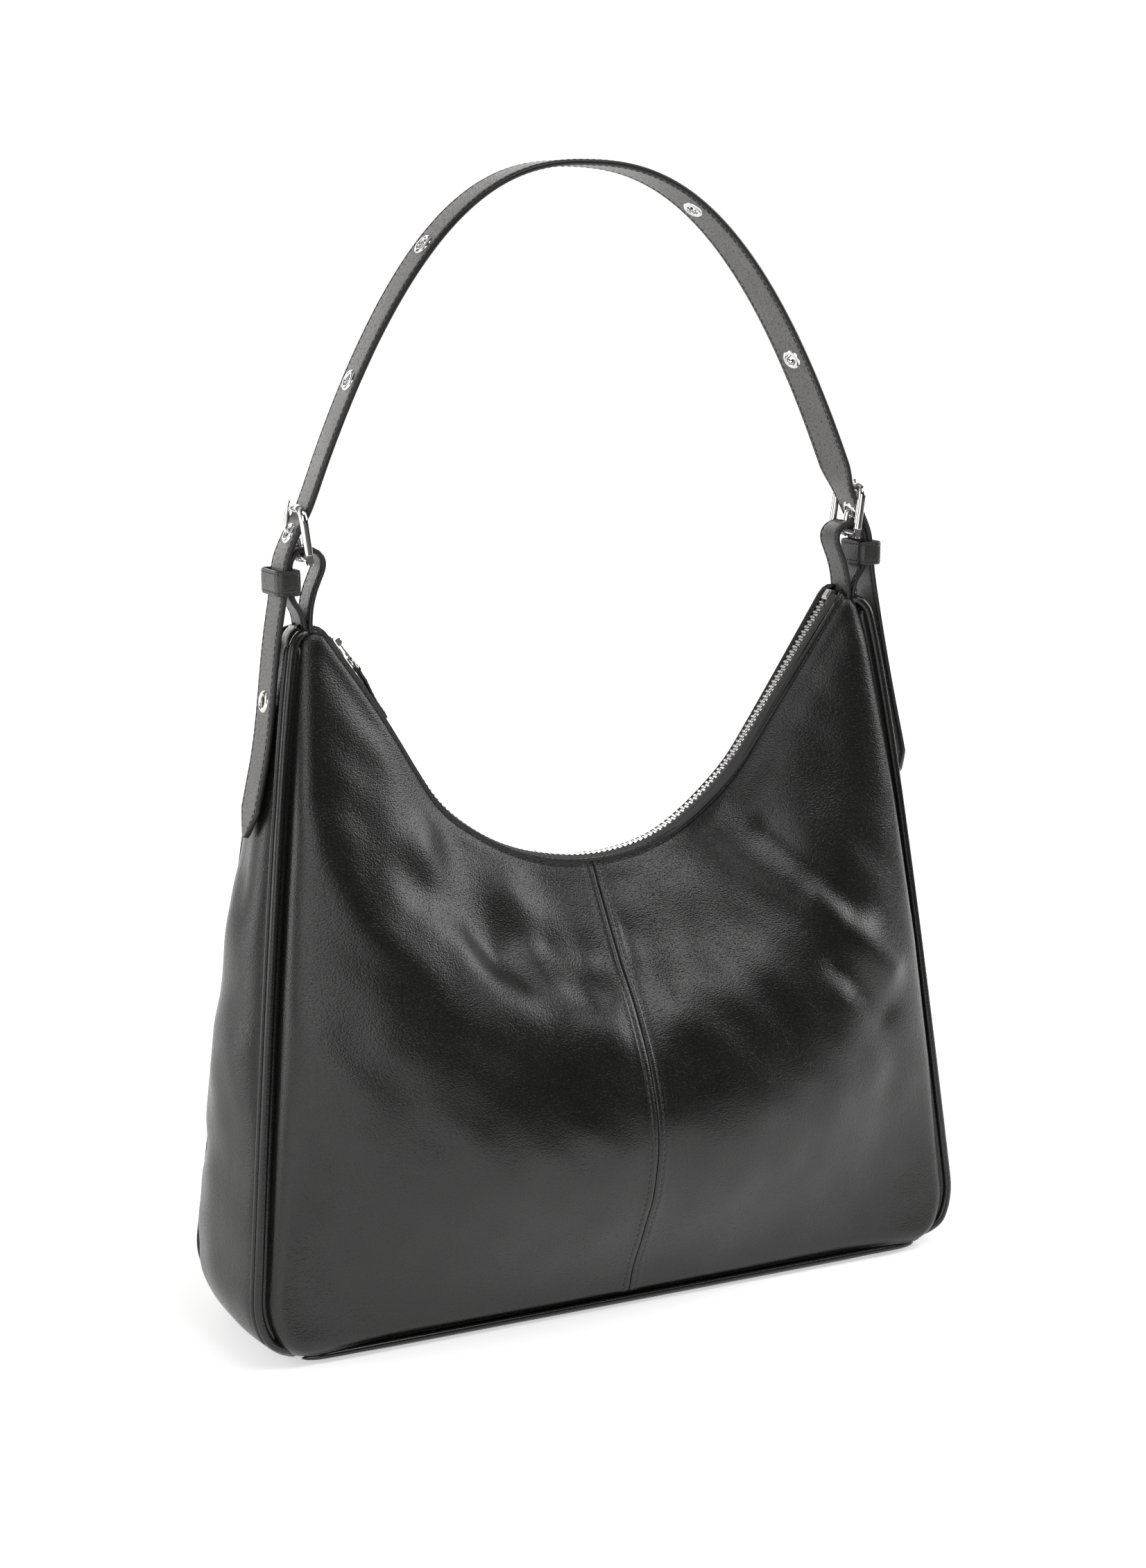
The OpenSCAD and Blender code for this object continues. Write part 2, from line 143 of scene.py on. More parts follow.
def unit(v):
    v = np.asarray(v, float)
    return v / np.maximum(np.linalg.norm(v, axis=-1, keepdims=True), 1e-9)


def bump(x, width):
    """Smooth hill of height 1."""
    return np.exp(-((x / width) ** 2))


def ramp(x, low, high):
    """0 below low, 1 above high, smooth between."""
    t = np.clip((x - low) / (high - low), 0, 1)
    return t * t * (3 - 2 * t)


def rolled(t):
    """Drop of a quarter circle of radius 1, from 0 at its top to 1 at its foot."""
    return 1 - np.sqrt(1 - t**2)


def full_turn(steps):
    return np.arange(steps) / steps * 2 * PI


def arc_lengths(path):
    return np.concatenate([[0], np.cumsum(np.linalg.norm(np.diff(path, axis=0), axis=1))])


def resample(path, step, smooth=0):
    """The path again with points evenly spaced, its corners rounded over `smooth` points."""
    along = arc_lengths(path)
    n = max(2, round(along[-1] / step) + 1)
    at = np.linspace(0, along[-1], n)
    out = np.stack([np.interp(at, along, path[:, k]) for k in range(path.shape[1])], 1)
    for _ in range(smooth):
        out[1:-1] = (out[:-2] + 2 * out[1:-1] + out[2:]) / 4
    return out


def through(points, steps):
    """Smooth curve through points (Catmull-Rom)."""
    p = np.array(points, float)
    p = np.concatenate([[2 * p[0] - p[1]], p, [2 * p[-1] - p[-2]]])
    out = []
    for a, b, c, d in zip(p[:-3], p[1:-2], p[2:-1], p[3:]):
        for t in np.arange(steps) / steps:
            bend = (c - a) * t + (2 * a - 5 * b + 4 * c - d) * t**2 + (3 * b - a - 3 * c + d) * t**3
            out.append(b + bend / 2)
    return np.array(out + [p[-2]])


def graded(length, fine, coarse, band):
    """Fractions from 0 to 1 of a length, in fine steps near its ends and coarse ones between."""
    s = np.linspace(0, length, 3000)
    near = bump(s, band) + bump(length - s, band)
    density = 1 / coarse + (1 / fine - 1 / coarse) * np.clip(near, 0, 1)
    count = np.concatenate([[0], np.cumsum((density[1:] + density[:-1]) / 2 * np.diff(s))])
    n = math.ceil(count[-1])
    return np.interp(np.linspace(0, count[-1], n + 1), count, s) / length


def grid_normals(p, axis, sign):
    """Unit normals of a grid of points, (u, v, 3), towards one side of an axis."""
    n = unit(np.cross(np.gradient(p, axis=0), np.gradient(p, axis=1)))
    return n * np.sign(sign * n[..., axis : axis + 1])


def waves(x, z, wavelength, seed, count=7):
    """Smooth random relief between about -1 and 1."""
    rng = np.random.default_rng(seed)
    total = np.zeros_like(x)
    for angle, phase, stretch in zip(
        rng.uniform(0, PI, count), rng.uniform(0, 2 * PI, count), rng.uniform(0.7, 1.4, count)
    ):
        k = 2 * PI / (wavelength * stretch)
        total += np.sin(k * (x * math.cos(angle) + z * math.sin(angle)) + phase)
    return total / math.sqrt(count)


# ---------- Meshes ----------
# A part is (points, faces, material number of each face).


def part(points, faces, material=0):
    return [np.asarray(points, float).reshape(-1, 3), [tuple(map(int, f)) for f in faces],
            [material] * len(faces) if np.isscalar(material) else list(material)]


def joined(parts):
    points, faces, materials = [], [], []
    start = 0
    for p, f, m in parts:
        points.append(p)
        faces += [tuple(i + start for i in face) for face in f]
        materials += m
        start += len(p)
    return [np.concatenate(points), faces, materials]


def moved(p, matrix=None, offset=(0, 0, 0)):
    """The part turned by a 3x3 matrix, then shifted."""
    points = p[0] if matrix is None else p[0] @ np.asarray(matrix, float).T
    return [points + np.array(offset, float), p[1], p[2]]


def mirrored(p, axis):
    """The part on the other side of X (0) or Y (1)."""
    points = p[0].copy()
    points[:, axis] *= -1
    return [points, [f[::-1] for f in p[1]], p[2]]


def grid_faces(rows, columns, close_rows=False, close_columns=False):
    i, j = np.meshgrid(
        np.arange(rows if close_rows else rows - 1),
        np.arange(columns if close_columns else columns - 1), indexing="ij")
    i2, j2 = (i + 1) % rows, (j + 1) % columns
    quads = np.stack([i * columns + j, i2 * columns + j, i2 * columns + j2, i * columns + j2], -1)
    return quads.reshape(-1, 4)


def shell(outer, inner, steps=3):
    """Closed skin between two matching grids (u, v, 3), with both v edges rolled over."""
    nu, nv = outer.shape[:2]

    def roll(a, b, away):
        middle, half = (a + b) / 2, (a - b) / 2
        reach = unit(away) * np.linalg.norm(half, axis=1, keepdims=True)
        turn = np.linspace(0, PI, steps + 2)[1:-1]
        return [middle + half * math.cos(t) + reach * math.sin(t) for t in turn]

    top = roll(outer[:, -1], inner[:, -1], outer[:, -1] - outer[:, -2])
    low = roll(inner[:, 0], outer[:, 0], outer[:, 0] - outer[:, 1])
    columns = [*outer.transpose(1, 0, 2), *top, *inner[:, ::-1].transpose(1, 0, 2), *low]
    ring = np.stack(columns, 1)
    m = ring.shape[1]
    faces = [tuple(f) for f in grid_faces(nu, m, close_columns=True)]
    back = nv + steps + nv - 1
    for row in (0, (nu - 1) * m):
        faces += [(row + j, row + j + 1, row + back - j - 1, row + back - j) for j in range(nv - 1)]
        faces.append(tuple(row + k for k in range(nv - 1, nv + steps + 1)))
        faces.append((row, *(row + k for k in range(back, m))))
    return part(ring, faces)


def sweep(path, profile, side, closed=False, material=0):
    """Moves a closed profile along a path. Each profile point is (along side, outward)."""
    path = np.asarray(path, float)
    n = len(path)
    if closed:
        tangent = unit(np.roll(path, -1, 0) - np.roll(path, 1, 0))
    else:
        tangent = unit(np.gradient(path, axis=0))
    side = np.broadcast_to(np.asarray(side, float), path.shape)
    side = unit(side - tangent * (side * tangent).sum(1, keepdims=True))
    outward = np.cross(side, tangent)
    profile = np.broadcast_to(np.asarray(profile, float), (n, *np.shape(profile)[-2:]))
    points = path[:, None] + profile[..., :1] * side[:, None] + profile[..., 1:] * outward[:, None]
    m = profile.shape[1]
    faces = [tuple(f) for f in grid_faces(n, m, close_rows=closed, close_columns=True)]
    numbers = [material] * len(faces) if np.isscalar(material) else list(np.tile(material, n - 1 + closed))
    if not closed:
        faces += [tuple(range(m)), tuple(range(n * m - 1, (n - 1) * m - 1, -1))]
        numbers += [numbers[0]] * 2
    return part(points, faces, numbers)


def circle(r, sides=16):
    a = full_turn(sides)
    return np.stack([r * np.cos(a), r * np.sin(a)], 1)


def rod(path, r, side=(0, 1, 0), sides=16, closed=False, tips=0.0):
    """Round rod. tips rounds its two ends over that length."""
    path = np.asarray(path, float)
    if tips:
        steps = np.sin(np.linspace(0, PI / 2, 5)) * tips
        along = arc_lengths(path)
        total = along[-1]
        at = np.unique(np.concatenate([tips - steps, along[(along > tips) & (along < total - tips)],
                                       total - tips + steps]))
        path = np.stack([np.interp(at, along, path[:, k]) for k in range(3)], 1)
        near = np.clip(np.minimum(at, total - at) / tips, 0.02, 1)
        r = r * np.sqrt(1 - (1 - near) ** 2)
    scale = np.broadcast_to(np.asarray(r, float), len(path))[:, None, None]
    return sweep(path, circle(1, sides)[None] * scale, side, closed)


def lathe(profile, sides):
    """Ring about Z. The profile is a closed line of (radius, height)."""
    a = full_turn(sides)
    p = np.asarray(profile, float)
    points = np.stack([p[None, :, 0] * np.cos(a)[:, None], p[None, :, 0] * np.sin(a)[:, None],
                       np.broadcast_to(p[None, :, 1], (sides, len(p)))], -1)
    return part(points, grid_faces(sides, len(p), True, True))


def plate(outline, low, high, bevel):
    """Flat plate with bevelled rims over a convex outline in (x, y), anticlockwise."""
    o = np.array(outline, float)
    edge = unit(np.roll(o, -1, 0) - o)
    before = np.roll(edge, 1, 0)
    inward = unit(np.stack([-edge[:, 1] - before[:, 1], edge[:, 0] + before[:, 0]], 1))
    small = o + inward * bevel
    levels = [(small, low), (o, low + bevel), (o, high - bevel), (small, high)]
    rings = np.stack([np.column_stack([xy, np.full(len(o), z)]) for xy, z in levels])
    n = len(o)
    faces = [tuple(f) for f in grid_faces(4, n, close_columns=True)]
    return part(rings, faces + [tuple(range(n - 1, -1, -1)), tuple(range(3 * n, 4 * n))])


def rounded(x0, y0, x1, y1, r, steps=5):
    """Outline of a rectangle with round corners, anticlockwise."""
    corners = [(x1 - r, y1 - r, 0), (x0 + r, y1 - r, 1), (x0 + r, y0 + r, 2), (x1 - r, y0 + r, 3)]
    turn = np.linspace(0, PI / 2, steps)
    return np.array([(cx + r * math.cos(q * PI / 2 + t), cy + r * math.sin(q * PI / 2 + t))
                     for cx, cy, q in corners for t in turn])


def stitches(path, normal, material, length=2.7, gap=0.75, thick=THREAD):
    """Row of short threads along a path on a surface. Each dips in at its ends."""
    path, normal = np.asarray(path, float), np.asarray(normal, float)
    along = arc_lengths(path)
    count = int(along[-1] // (length + gap))
    if count < 1:
        return part(np.zeros((0, 3)), [])
    at = (np.arange(count) + 0.5) * along[-1] / count
    tangent = unit(np.gradient(path, axis=0))
    place, t, n = (np.stack([np.interp(at, along, a[:, k]) for k in range(3)], 1)
                   for a in (path, tangent, np.broadcast_to(normal, path.shape)))
    t = unit(t)
    n = unit(n - t * (n * t).sum(1, keepdims=True))
    b = np.cross(t, n)
    stations = np.array([-0.5, -0.42, -0.2, 0.2, 0.42, 0.5])
    radius = thick / 2 * np.array([0.3, 0.85, 1, 1, 0.85, 0.3])
    lift = thick * np.array([-0.5, -0.12, 0.16, 0.16, -0.12, -0.5])
    sides = 6
    ring = circle(1, sides)
    local = np.stack([np.repeat(stations * length, sides),
                      (radius[:, None] * ring[:, 0]).ravel(),
                      (radius[:, None] * ring[:, 1] + lift[:, None]).ravel()], 1)
    points = (place[:, None] + local[None, :, :1] * t[:, None] + local[None, :, 1:2] * b[:, None]
              + local[None, :, 2:] * n[:, None])
    rings = len(stations)
    one = [tuple(f) for f in grid_faces(rings, sides, close_columns=True)]
    one += [tuple(range(sides)), tuple(range(rings * sides - 1, (rings - 1) * sides - 1, -1))]
    size = rings * sides
    faces = [tuple(i + k * size for i in f) for k in range(count) for f in one]
    return part(points, faces, material)


def build(name, parts, materials, body, replaced=(), sharp=None):
    """One smooth-shaded object from parts in millimetres, riding on a body."""
    points, faces, numbers = joined(parts)
    mesh = bpy.data.meshes.new(name)
    mesh.from_pydata((points * MM).tolist(), [], faces)
    bm = bmesh.new()
    bm.from_mesh(mesh)
    bmesh.ops.recalc_face_normals(bm, faces=bm.faces)
    bm.to_mesh(mesh)
    bm.free()
    mesh.polygons.foreach_set("material_index", numbers)
    mesh.shade_smooth()
    if sharp:
        mesh.set_sharp_from_angle(angle=math.radians(sharp))
    for material in materials:
        mesh.materials.append(material)
    obj = bpy.data.objects.new(name, mesh)
    bpy.context.scene.collection.objects.link(obj)
    if body:
        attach(obj, body)
    if replaced:
        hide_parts(*replaced)
    return obj


def metal(name, parts, body, replaced, sharp):
    return build(name, parts, [NICKEL], body, [replaced], sharp)


def on_side(p, side):
    """A part drawn for the right, or its mirror image on the left."""
    return p if side > 0 else mirrored(p, 0)


def cut(obj, cutter):
    """Takes a part, in millimetres, out of an object."""
    tool = build("cutter", [cutter], [], None)
    modifier = obj.modifiers.new("cut", "BOOLEAN")
    modifier.object = tool
    modifier.solver = "EXACT"
    graph = bpy.context.evaluated_depsgraph_get()
    result = bpy.data.meshes.new_from_object(obj.evaluated_get(graph))
    obj.modifiers.clear()
    old = obj.data
    obj.data = result
    bpy.data.meshes.remove(old)
    bpy.data.objects.remove(tool)


# ---------- Materials ----------


class Nodes:
    """Short names for building the nodes of one material, or of the world."""

    def __init__(self, name, kind="materials"):
        self.material = getattr(bpy.data, kind).new(name)
        self.material.use_nodes = True
        self.tree = self.material.node_tree
        self.shader = next(n for n in self.tree.nodes if n.type in ("BSDF_PRINCIPLED", "BACKGROUND"))

    def add(self, kind, inputs=(), **settings):
        node = self.tree.nodes.new("ShaderNode" + kind)
        for key, value in settings.items():
            setattr(node, key, value)
        for key, value in dict(inputs).items():
            self.put(node, key, value)
        return node

    def put(self, node, key, value):
        if isinstance(value, bpy.types.NodeSocket):
            self.tree.links.new(value, node.inputs[key])
        else:
            node.inputs[key].default_value = value

    def math(self, operation, a, b=0.5, c=0.5):
        return self.add("Math", {0: a, 1: b, 2: c}, operation=operation).outputs[0]

    def spread(self, value, low, high, to_low, to_high):
        """A value's range mapped onto another, clamped."""
        return self.add("MapRange", {"Value": value, "From Min": low, "From Max": high,
                                     "To Min": to_low, "To Max": to_high}).outputs["Result"]

    def noise(self, vector, scale, detail=3.0, roughness=0.55):
        node = self.add("TexNoise", {"Vector": vector, "Scale": scale, "Detail": detail,
                                     "Roughness": roughness})
        return node.outputs["Fac"]

    def colours(self, fac, low, high):
        node = self.add("Mix", {"Factor": fac}, data_type="RGBA")
        node.inputs["A"].default_value = (*low, 1)
        node.inputs["B"].default_value = (*high, 1)
        return node.outputs["Result"]

    def bumps(self, height, strength, distance, normal=None):
        inputs = {"Height": height, "Strength": strength, "Distance": distance}
        if normal:
            inputs["Normal"] = normal
        return self.add("Bump", inputs).outputs["Normal"]

    def set(self, **values):
        for key, value in values.items():
            self.put(self.shader, key.replace("_", " "), value)
        return self.material


def leather(name, dark, light, grain, depth, roughness, stretch=(1, 1, 1)):
    """Pebbled leather. grain is the size of a pebble in millimetres."""
    n = Nodes(name)
    place = n.add("TexCoord").outputs["Object"]
    stretched = n.add("Mapping", {"Vector": place, "Scale": stretch}).outputs["Vector"]
    drift = n.add("TexNoise", {"Vector": stretched, "Scale": 420, "Detail": 2}).outputs["Color"]
    wander = n.add("VectorMath", {0: drift, "Scale": 0.8 * grain * MM}, operation="SCALE").outputs[0]
    uneven = n.add("VectorMath", {0: stretched, 1: wander}, operation="ADD").outputs[0]
    centre = n.add("TexVoronoi", {"Vector": uneven, "Scale": 1 / (grain * MM)}).outputs["Distance"]
    dome = n.math("SUBTRACT", 1, n.math("POWER", centre, 2))
    pore = n.noise(stretched, 2400, 2)
    crinkle = n.noise(stretched, 260, 2, 0.5)
    patch = n.noise(place, 9, 3)
    smear = n.noise(place, 38, 3)
    grainy = n.math("MULTIPLY_ADD", pore, 0.25, dome)
    relief = n.math("MULTIPLY_ADD", crinkle, 0.6, grainy)
    strength = n.spread(patch, 0.35, 0.65, 0.75 * depth, depth)
    normal = n.bumps(relief, strength, 0.00014)
    # colour: the smear is the leather's own uneven tone; lighter pebble crowns and darker hollows between
    # them are painted shade
    grain_tone_and_pebble_shade = n.math("MULTIPLY_ADD", smear, 0.5, n.math("MULTIPLY", dome, 0.6))
    rough = n.math("ADD", n.spread(patch, 0.3, 0.7, -0.03, 0.03),
                   n.spread(dome, 0, 1, roughness + 0.14, roughness - 0.02))
    n.set(Base_Color=n.colours(n.spread(grain_tone_and_pebble_shade, 0.2, 0.9, 0, 1), dark, light), Roughness=rough,
          Normal=normal)
    return n.set(Specular_IOR_Level=0.5, IOR=1.5)


def edge_paint():
    """Smooth dark paint on the cut edges of the strap."""
    n = Nodes("edge_paint")
    place = n.add("TexCoord").outputs["Object"]
    ripple = n.noise(place, 320, 3)
    n.set(Base_Color=n.colours(ripple, (0.008, 0.008, 0.009), (0.016, 0.015, 0.015)),
          Roughness=n.spread(n.noise(place, 60), 0.3, 0.7, 0.36, 0.5),
          Normal=n.bumps(ripple, 0.35, 0.0003))
    return n.set(Specular_IOR_Level=0.45)


def thread():
    """Twisted polyester thread."""
    n = Nodes("black_thread")
    place = n.add("TexCoord").outputs["Object"]
    twist = n.add("TexWave", {"Vector": place, "Scale": 900, "Distortion": 2},
                  bands_direction="DIAGONAL").outputs["Fac"]
    # lighter on the crests of the twist and darker in its grooves: painted shade
    n.set(Base_Color=n.colours(twist, (0.007, 0.007, 0.008), (0.03, 0.029, 0.029)),
          Roughness=n.spread(twist, 0, 1, 0.6, 0.45), Normal=n.bumps(twist, 0.4, 0.0001))
    return n.set(Sheen_Weight=0.15)


def nickel():
    """Polished nickel plate with fine scratches."""
    n = Nodes("polished_nickel")
    place = n.add("TexCoord").outputs["Object"]
    cloud = n.noise(place, 90, 4)
    hairs = n.add("Mapping", {"Vector": place, "Scale": (500, 500, 6000)}).outputs["Vector"]
    scratch = n.noise(hairs, 1, 3, 0.7)
    n.set(Base_Color=n.colours(cloud, (0.62, 0.605, 0.58), (0.74, 0.73, 0.71)), Metallic=1.0,
          Roughness=n.math("ADD", n.spread(cloud, 0.35, 0.7, 0.07, 0.14),
                           n.spread(scratch, 0.6, 0.75, 0, 0.06)),
          Normal=n.bumps(scratch, 0.06, 0.00005))
    return n.material


def woven(name, dark, light, warp, weft, depth, twill=0.0):
    """Woven cloth in the UV map, which is in millimetres. twill turns the floats diagonal."""
    n = Nodes(name)
    split = n.add("SeparateXYZ", {0: n.add("UVMap", uv_map="cloth").outputs["UV"]})
    across, along = split.outputs[0], split.outputs[1]
    if twill:
        # the slant changes side every few threads, which makes the herringbone
        fold = n.math("PINGPONG", across, twill)
        slanted = n.math("ADD", along, fold)
    else:
        slanted = along
    rows = n.math("SINE", n.math("MULTIPLY", slanted, 2 * PI / weft))
    ends = n.math("SINE", n.math("MULTIPLY", across, 2 * PI / warp))
    weave = n.math("MAXIMUM", rows, ends) if not twill else n.math("MULTIPLY_ADD", ends, 0.35, rows)
    fuzz = n.noise(n.add("TexCoord").outputs["Object"], 1800, 3)
    height = n.math("MULTIPLY_ADD", fuzz, 0.6, weave)
    shade = n.spread(height, -0.8, 1.4, 0, 1)
    n.set(Base_Color=n.colours(shade, dark, light), Roughness=n.spread(fuzz, 0.3, 0.7, 0.72, 0.9),
          Normal=n.bumps(height, depth, 0.0002))
    return n.set(Sheen_Weight=0.25, Sheen_Roughness=0.5)


def fibre_board():
    n = Nodes("fibre_board")
    place = n.add("TexCoord").outputs["Object"]
    fibres = n.noise(n.add("Mapping", {"Vector": place, "Scale": (300, 1800, 900)}).outputs[0], 1, 4)
    return n.set(Base_Color=n.colours(fibres, (0.2, 0.15, 0.1), (0.36, 0.29, 0.2)),
                 Roughness=n.spread(fibres, 0.3, 0.7, 0.75, 0.9), Normal=n.bumps(fibres, 0.3, 0.0003))


BODY_LEATHER = leather("body_leather", (0.0035, 0.0034, 0.0032), (0.0085, 0.0082, 0.0076),
                       grain=0.85, depth=0.95, roughness=0.28, stretch=(0.85, 1, 1.25))
# the strap's light colour is partly its own hazier leather and partly painted sheen
STRAP_LEATHER_PAINTED_SHEEN = leather("strap_leather", (0.03, 0.0294, 0.0286), (0.125, 0.122, 0.118),
                        grain=0.95, depth=0.7, roughness=0.4)
TRIM_LEATHER = leather("trim_leather", (0.008, 0.0078, 0.0076), (0.035, 0.034, 0.033),
                       grain=0.95, depth=0.9, roughness=0.33)
PIPING_LEATHER = leather("piping_leather", (0.004, 0.0039, 0.0038), (0.008, 0.0077, 0.0073),
                         grain=1.2, depth=0.35, roughness=0.24)
EDGE_PAINT = edge_paint()
THREAD_BLACK = thread()
NICKEL = nickel()
TAPE_CLOTH = woven("zip_tape_cloth", (0.012, 0.012, 0.013), (0.045, 0.045, 0.047),
                   warp=0.5, weft=0.55, depth=0.6, twill=1.6)
LINING_CLOTH = woven("lining_cloth", (0.05, 0.047, 0.044), (0.12, 0.114, 0.107),
                     warp=0.5, weft=0.5, depth=0.5)
BOARD = fibre_board()
BODY_MATERIALS = [BODY_LEATHER, THREAD_BLACK]
STRAP_MATERIALS = [STRAP_LEATHER_PAINTED_SHEEN, EDGE_PAINT, THREAD_BLACK]
TRIM_MATERIALS = [TRIM_LEATHER, EDGE_PAINT, THREAD_BLACK]
BODY_THREAD, STRAP_THREAD = 1, 2  # the thread's number in the body's list, and in the other two


# ---------- Surfaces of the body ----------


def ridge_x(z):
    """Half width of the body at the gusset seams, at height z."""
    side = lerp(PEAK_X, BASE_X, (np.maximum(0, BODY_H - z) / (BODY_H - CORNER_H)) ** 0.8)
    corner = np.clip((CORNER_H - z) / CORNER_H, 0, 1)
    return side - CORNER_IN * rolled(corner)


def ridge_y(z):
    return lerp(PEAK_Y, BASE_Y, (np.maximum(0, BODY_H - z) / BODY_H) ** 0.9)


def scoop_z(x):
    """Height of the leather edge of the opening."""
    x = np.abs(x)
    turn = EDGE_R * math.sin(EDGE_SLOPE)
    arc = EDGE_LOW + EDGE_R - np.sqrt(np.maximum(EDGE_R**2 - x**2, 0))
    line = EDGE_LOW + EDGE_R * (1 - math.cos(EDGE_SLOPE)) + (x - turn) * math.tan(EDGE_SLOPE)
    return np.where(x < turn, arc, line)


def top_z(x):
    return BODY_H - ROUNDING * np.log(np.exp((BODY_H - scoop_z(x)) / ROUNDING) + 1)


def mouth_shift(x, facing=0):
    """How far the photo's mouth stands above (or below) the plain curve of the CAD part.

    facing is -1 for the front edge, 1 for the back edge and 0 for the zip between them.
    """
    right = (ramp(x, 30, 75) - 0.8 * ramp(x, 141, 149)) * {-1: 1.6, 0: 3.6, 1: 4.6}[facing]
    left = {-1: 2.1 * bump(x + 116, 20), 0: -1.3 * bump(x + 58, 22), 1: 0}[facing]
    return right + left - 2.4 * bump(x + 84, 16) * (facing < 1)


def panel_point(u, v):
    """Right half of the front panel as in the CAD part: u 0 at the middle, v 0 at the floor."""
    zr = lerp(PANEL_LOW, BODY_H, v)
    swell = BELLY * np.sin(PI * v**0.9) ** 1.5 * (1 - u**3)
    return np.stack([u * (ridge_x(zr) - SEAM_GAP), -(ridge_y(zr) + swell),
                     lerp(PANEL_LOW, top_z(u * (PEAK_X - SEAM_GAP)), v)], -1)


def gusset_point(t, v):
    """Right gusset as in the CAD part: t from the front seam (-1) to the back seam (1)."""
    z = lerp(GUSSET_LOW, BODY_H, v)
    swell = GUSSET_SWELL * np.maximum(0, 1 - ((z - 130) / 205) ** 2) ** 1.3
    return np.stack([ridge_x(z) + swell * (1 - np.abs(t) ** 2.2), t * (ridge_y(z) - SEAM_GAP), z], -1)


# Soft folds: both ends (x, z), height (a valley is negative) and half width
FRONT_FOLDS = [
    # brim of the sagging belly, with a hollow above it
    ((-108, 196), (-74, 163), 2.4, 20),
    ((-74, 163), (-26, 150), 2.2, 20),
    ((-26, 150), (22, 150), 1.6, 20),
    ((22, 150), (74, 166), 1.6, 20),
    ((-98, 222), (-62, 190), -2.6, 13),
    ((-62, 190), (-14, 178), -2.4, 14),
    ((-14, 178), (44, 184), -1.6, 14),
    # soft ridges that hang from the opening
    ((-96, 240), (-84, 196), 2.0, 11),
    ((-52, 212), (-42, 172), 1.9, 12),
    ((-6, 204), (-4, 170), 1.3, 11),
    ((38, 204), (30, 166), 1.5, 12),
    # short creases between them
    ((-76, 198), (-58, 176), -0.8, 5),
    ((-36, 186), (-22, 162), -0.7, 6),
    ((8, 188), (18, 160), -0.6, 6),
    # creases towards the right side seam
    ((66, 236), (92, 210), 2.2, 13),
    ((90, 230), (124, 192), -2.6, 9),
    ((108, 198), (146, 158), 2.2, 9),
    ((112, 166), (142, 138), -1.6, 8),
    ((114, 146), (134, 108), 1.5, 11),
    # left side, near the seam
    ((-150, 250), (-132, 205), 1.4, 12),
    ((-165, 160), (-140, 120), 1.2, 15),
]
BACK_FOLDS = [
    ((-70, 225), (-60, 165), 2.2, 11),
    ((-40, 205), (-30, 150), -2.2, 10),
    ((-8, 200), (-14, 155), 1.8, 9),
    ((22, 205), (28, 160), -1.6, 9),
    ((58, 215), (52, 165), 2.2, 11),
    ((-100, 200), (-30, 140), -2.0, 14),
    ((-30, 140), (60, 148), -2.2, 14),
    ((60, 148), (110, 195), -1.8, 13),
    ((110, 190), (142, 150), 1.6, 10),
    ((-140, 160), (-115, 195), 1.6, 10),
]


def fold_height(x, z, folds):
    """Sum of soft ridges and valleys, each along a segment."""
    total = np.zeros_like(x)
    for (x0, z0), (x1, z1), height, width in folds:
        dx, dz = x1 - x0, z1 - z0
        t = np.clip(((x - x0) * dx + (z - z0) * dz) / (dx * dx + dz * dz), 0, 1)
        distance = np.hypot(x - x0 - t * dx, z - z0 - t * dz)
        total += height * bump(distance, width)
    return total


def beside_seam(distance, groove, groove_w, pillow, near, far):
    """Leather drawn in at a seam, then swelling beside it and levelling out further away."""
    return -groove * bump(distance, groove_w) + pillow * (1 - bump(distance, near)) * bump(distance, far)


EDGE_STITCH = 2.4  # from the opening's edge to its stitches
SEAM_STITCH = 3.4  # from the middle seam to the stitches beside it
PEAK_ROLL = 7  # radius over which the panels close over at the peaks
GUSSET_ROLL = 5  # and the gussets
LIP_IN = 3  # how far the edge of the opening leans in over the zip
LIP_IN_RIGHT = 4.6  # and on the side away from the slider


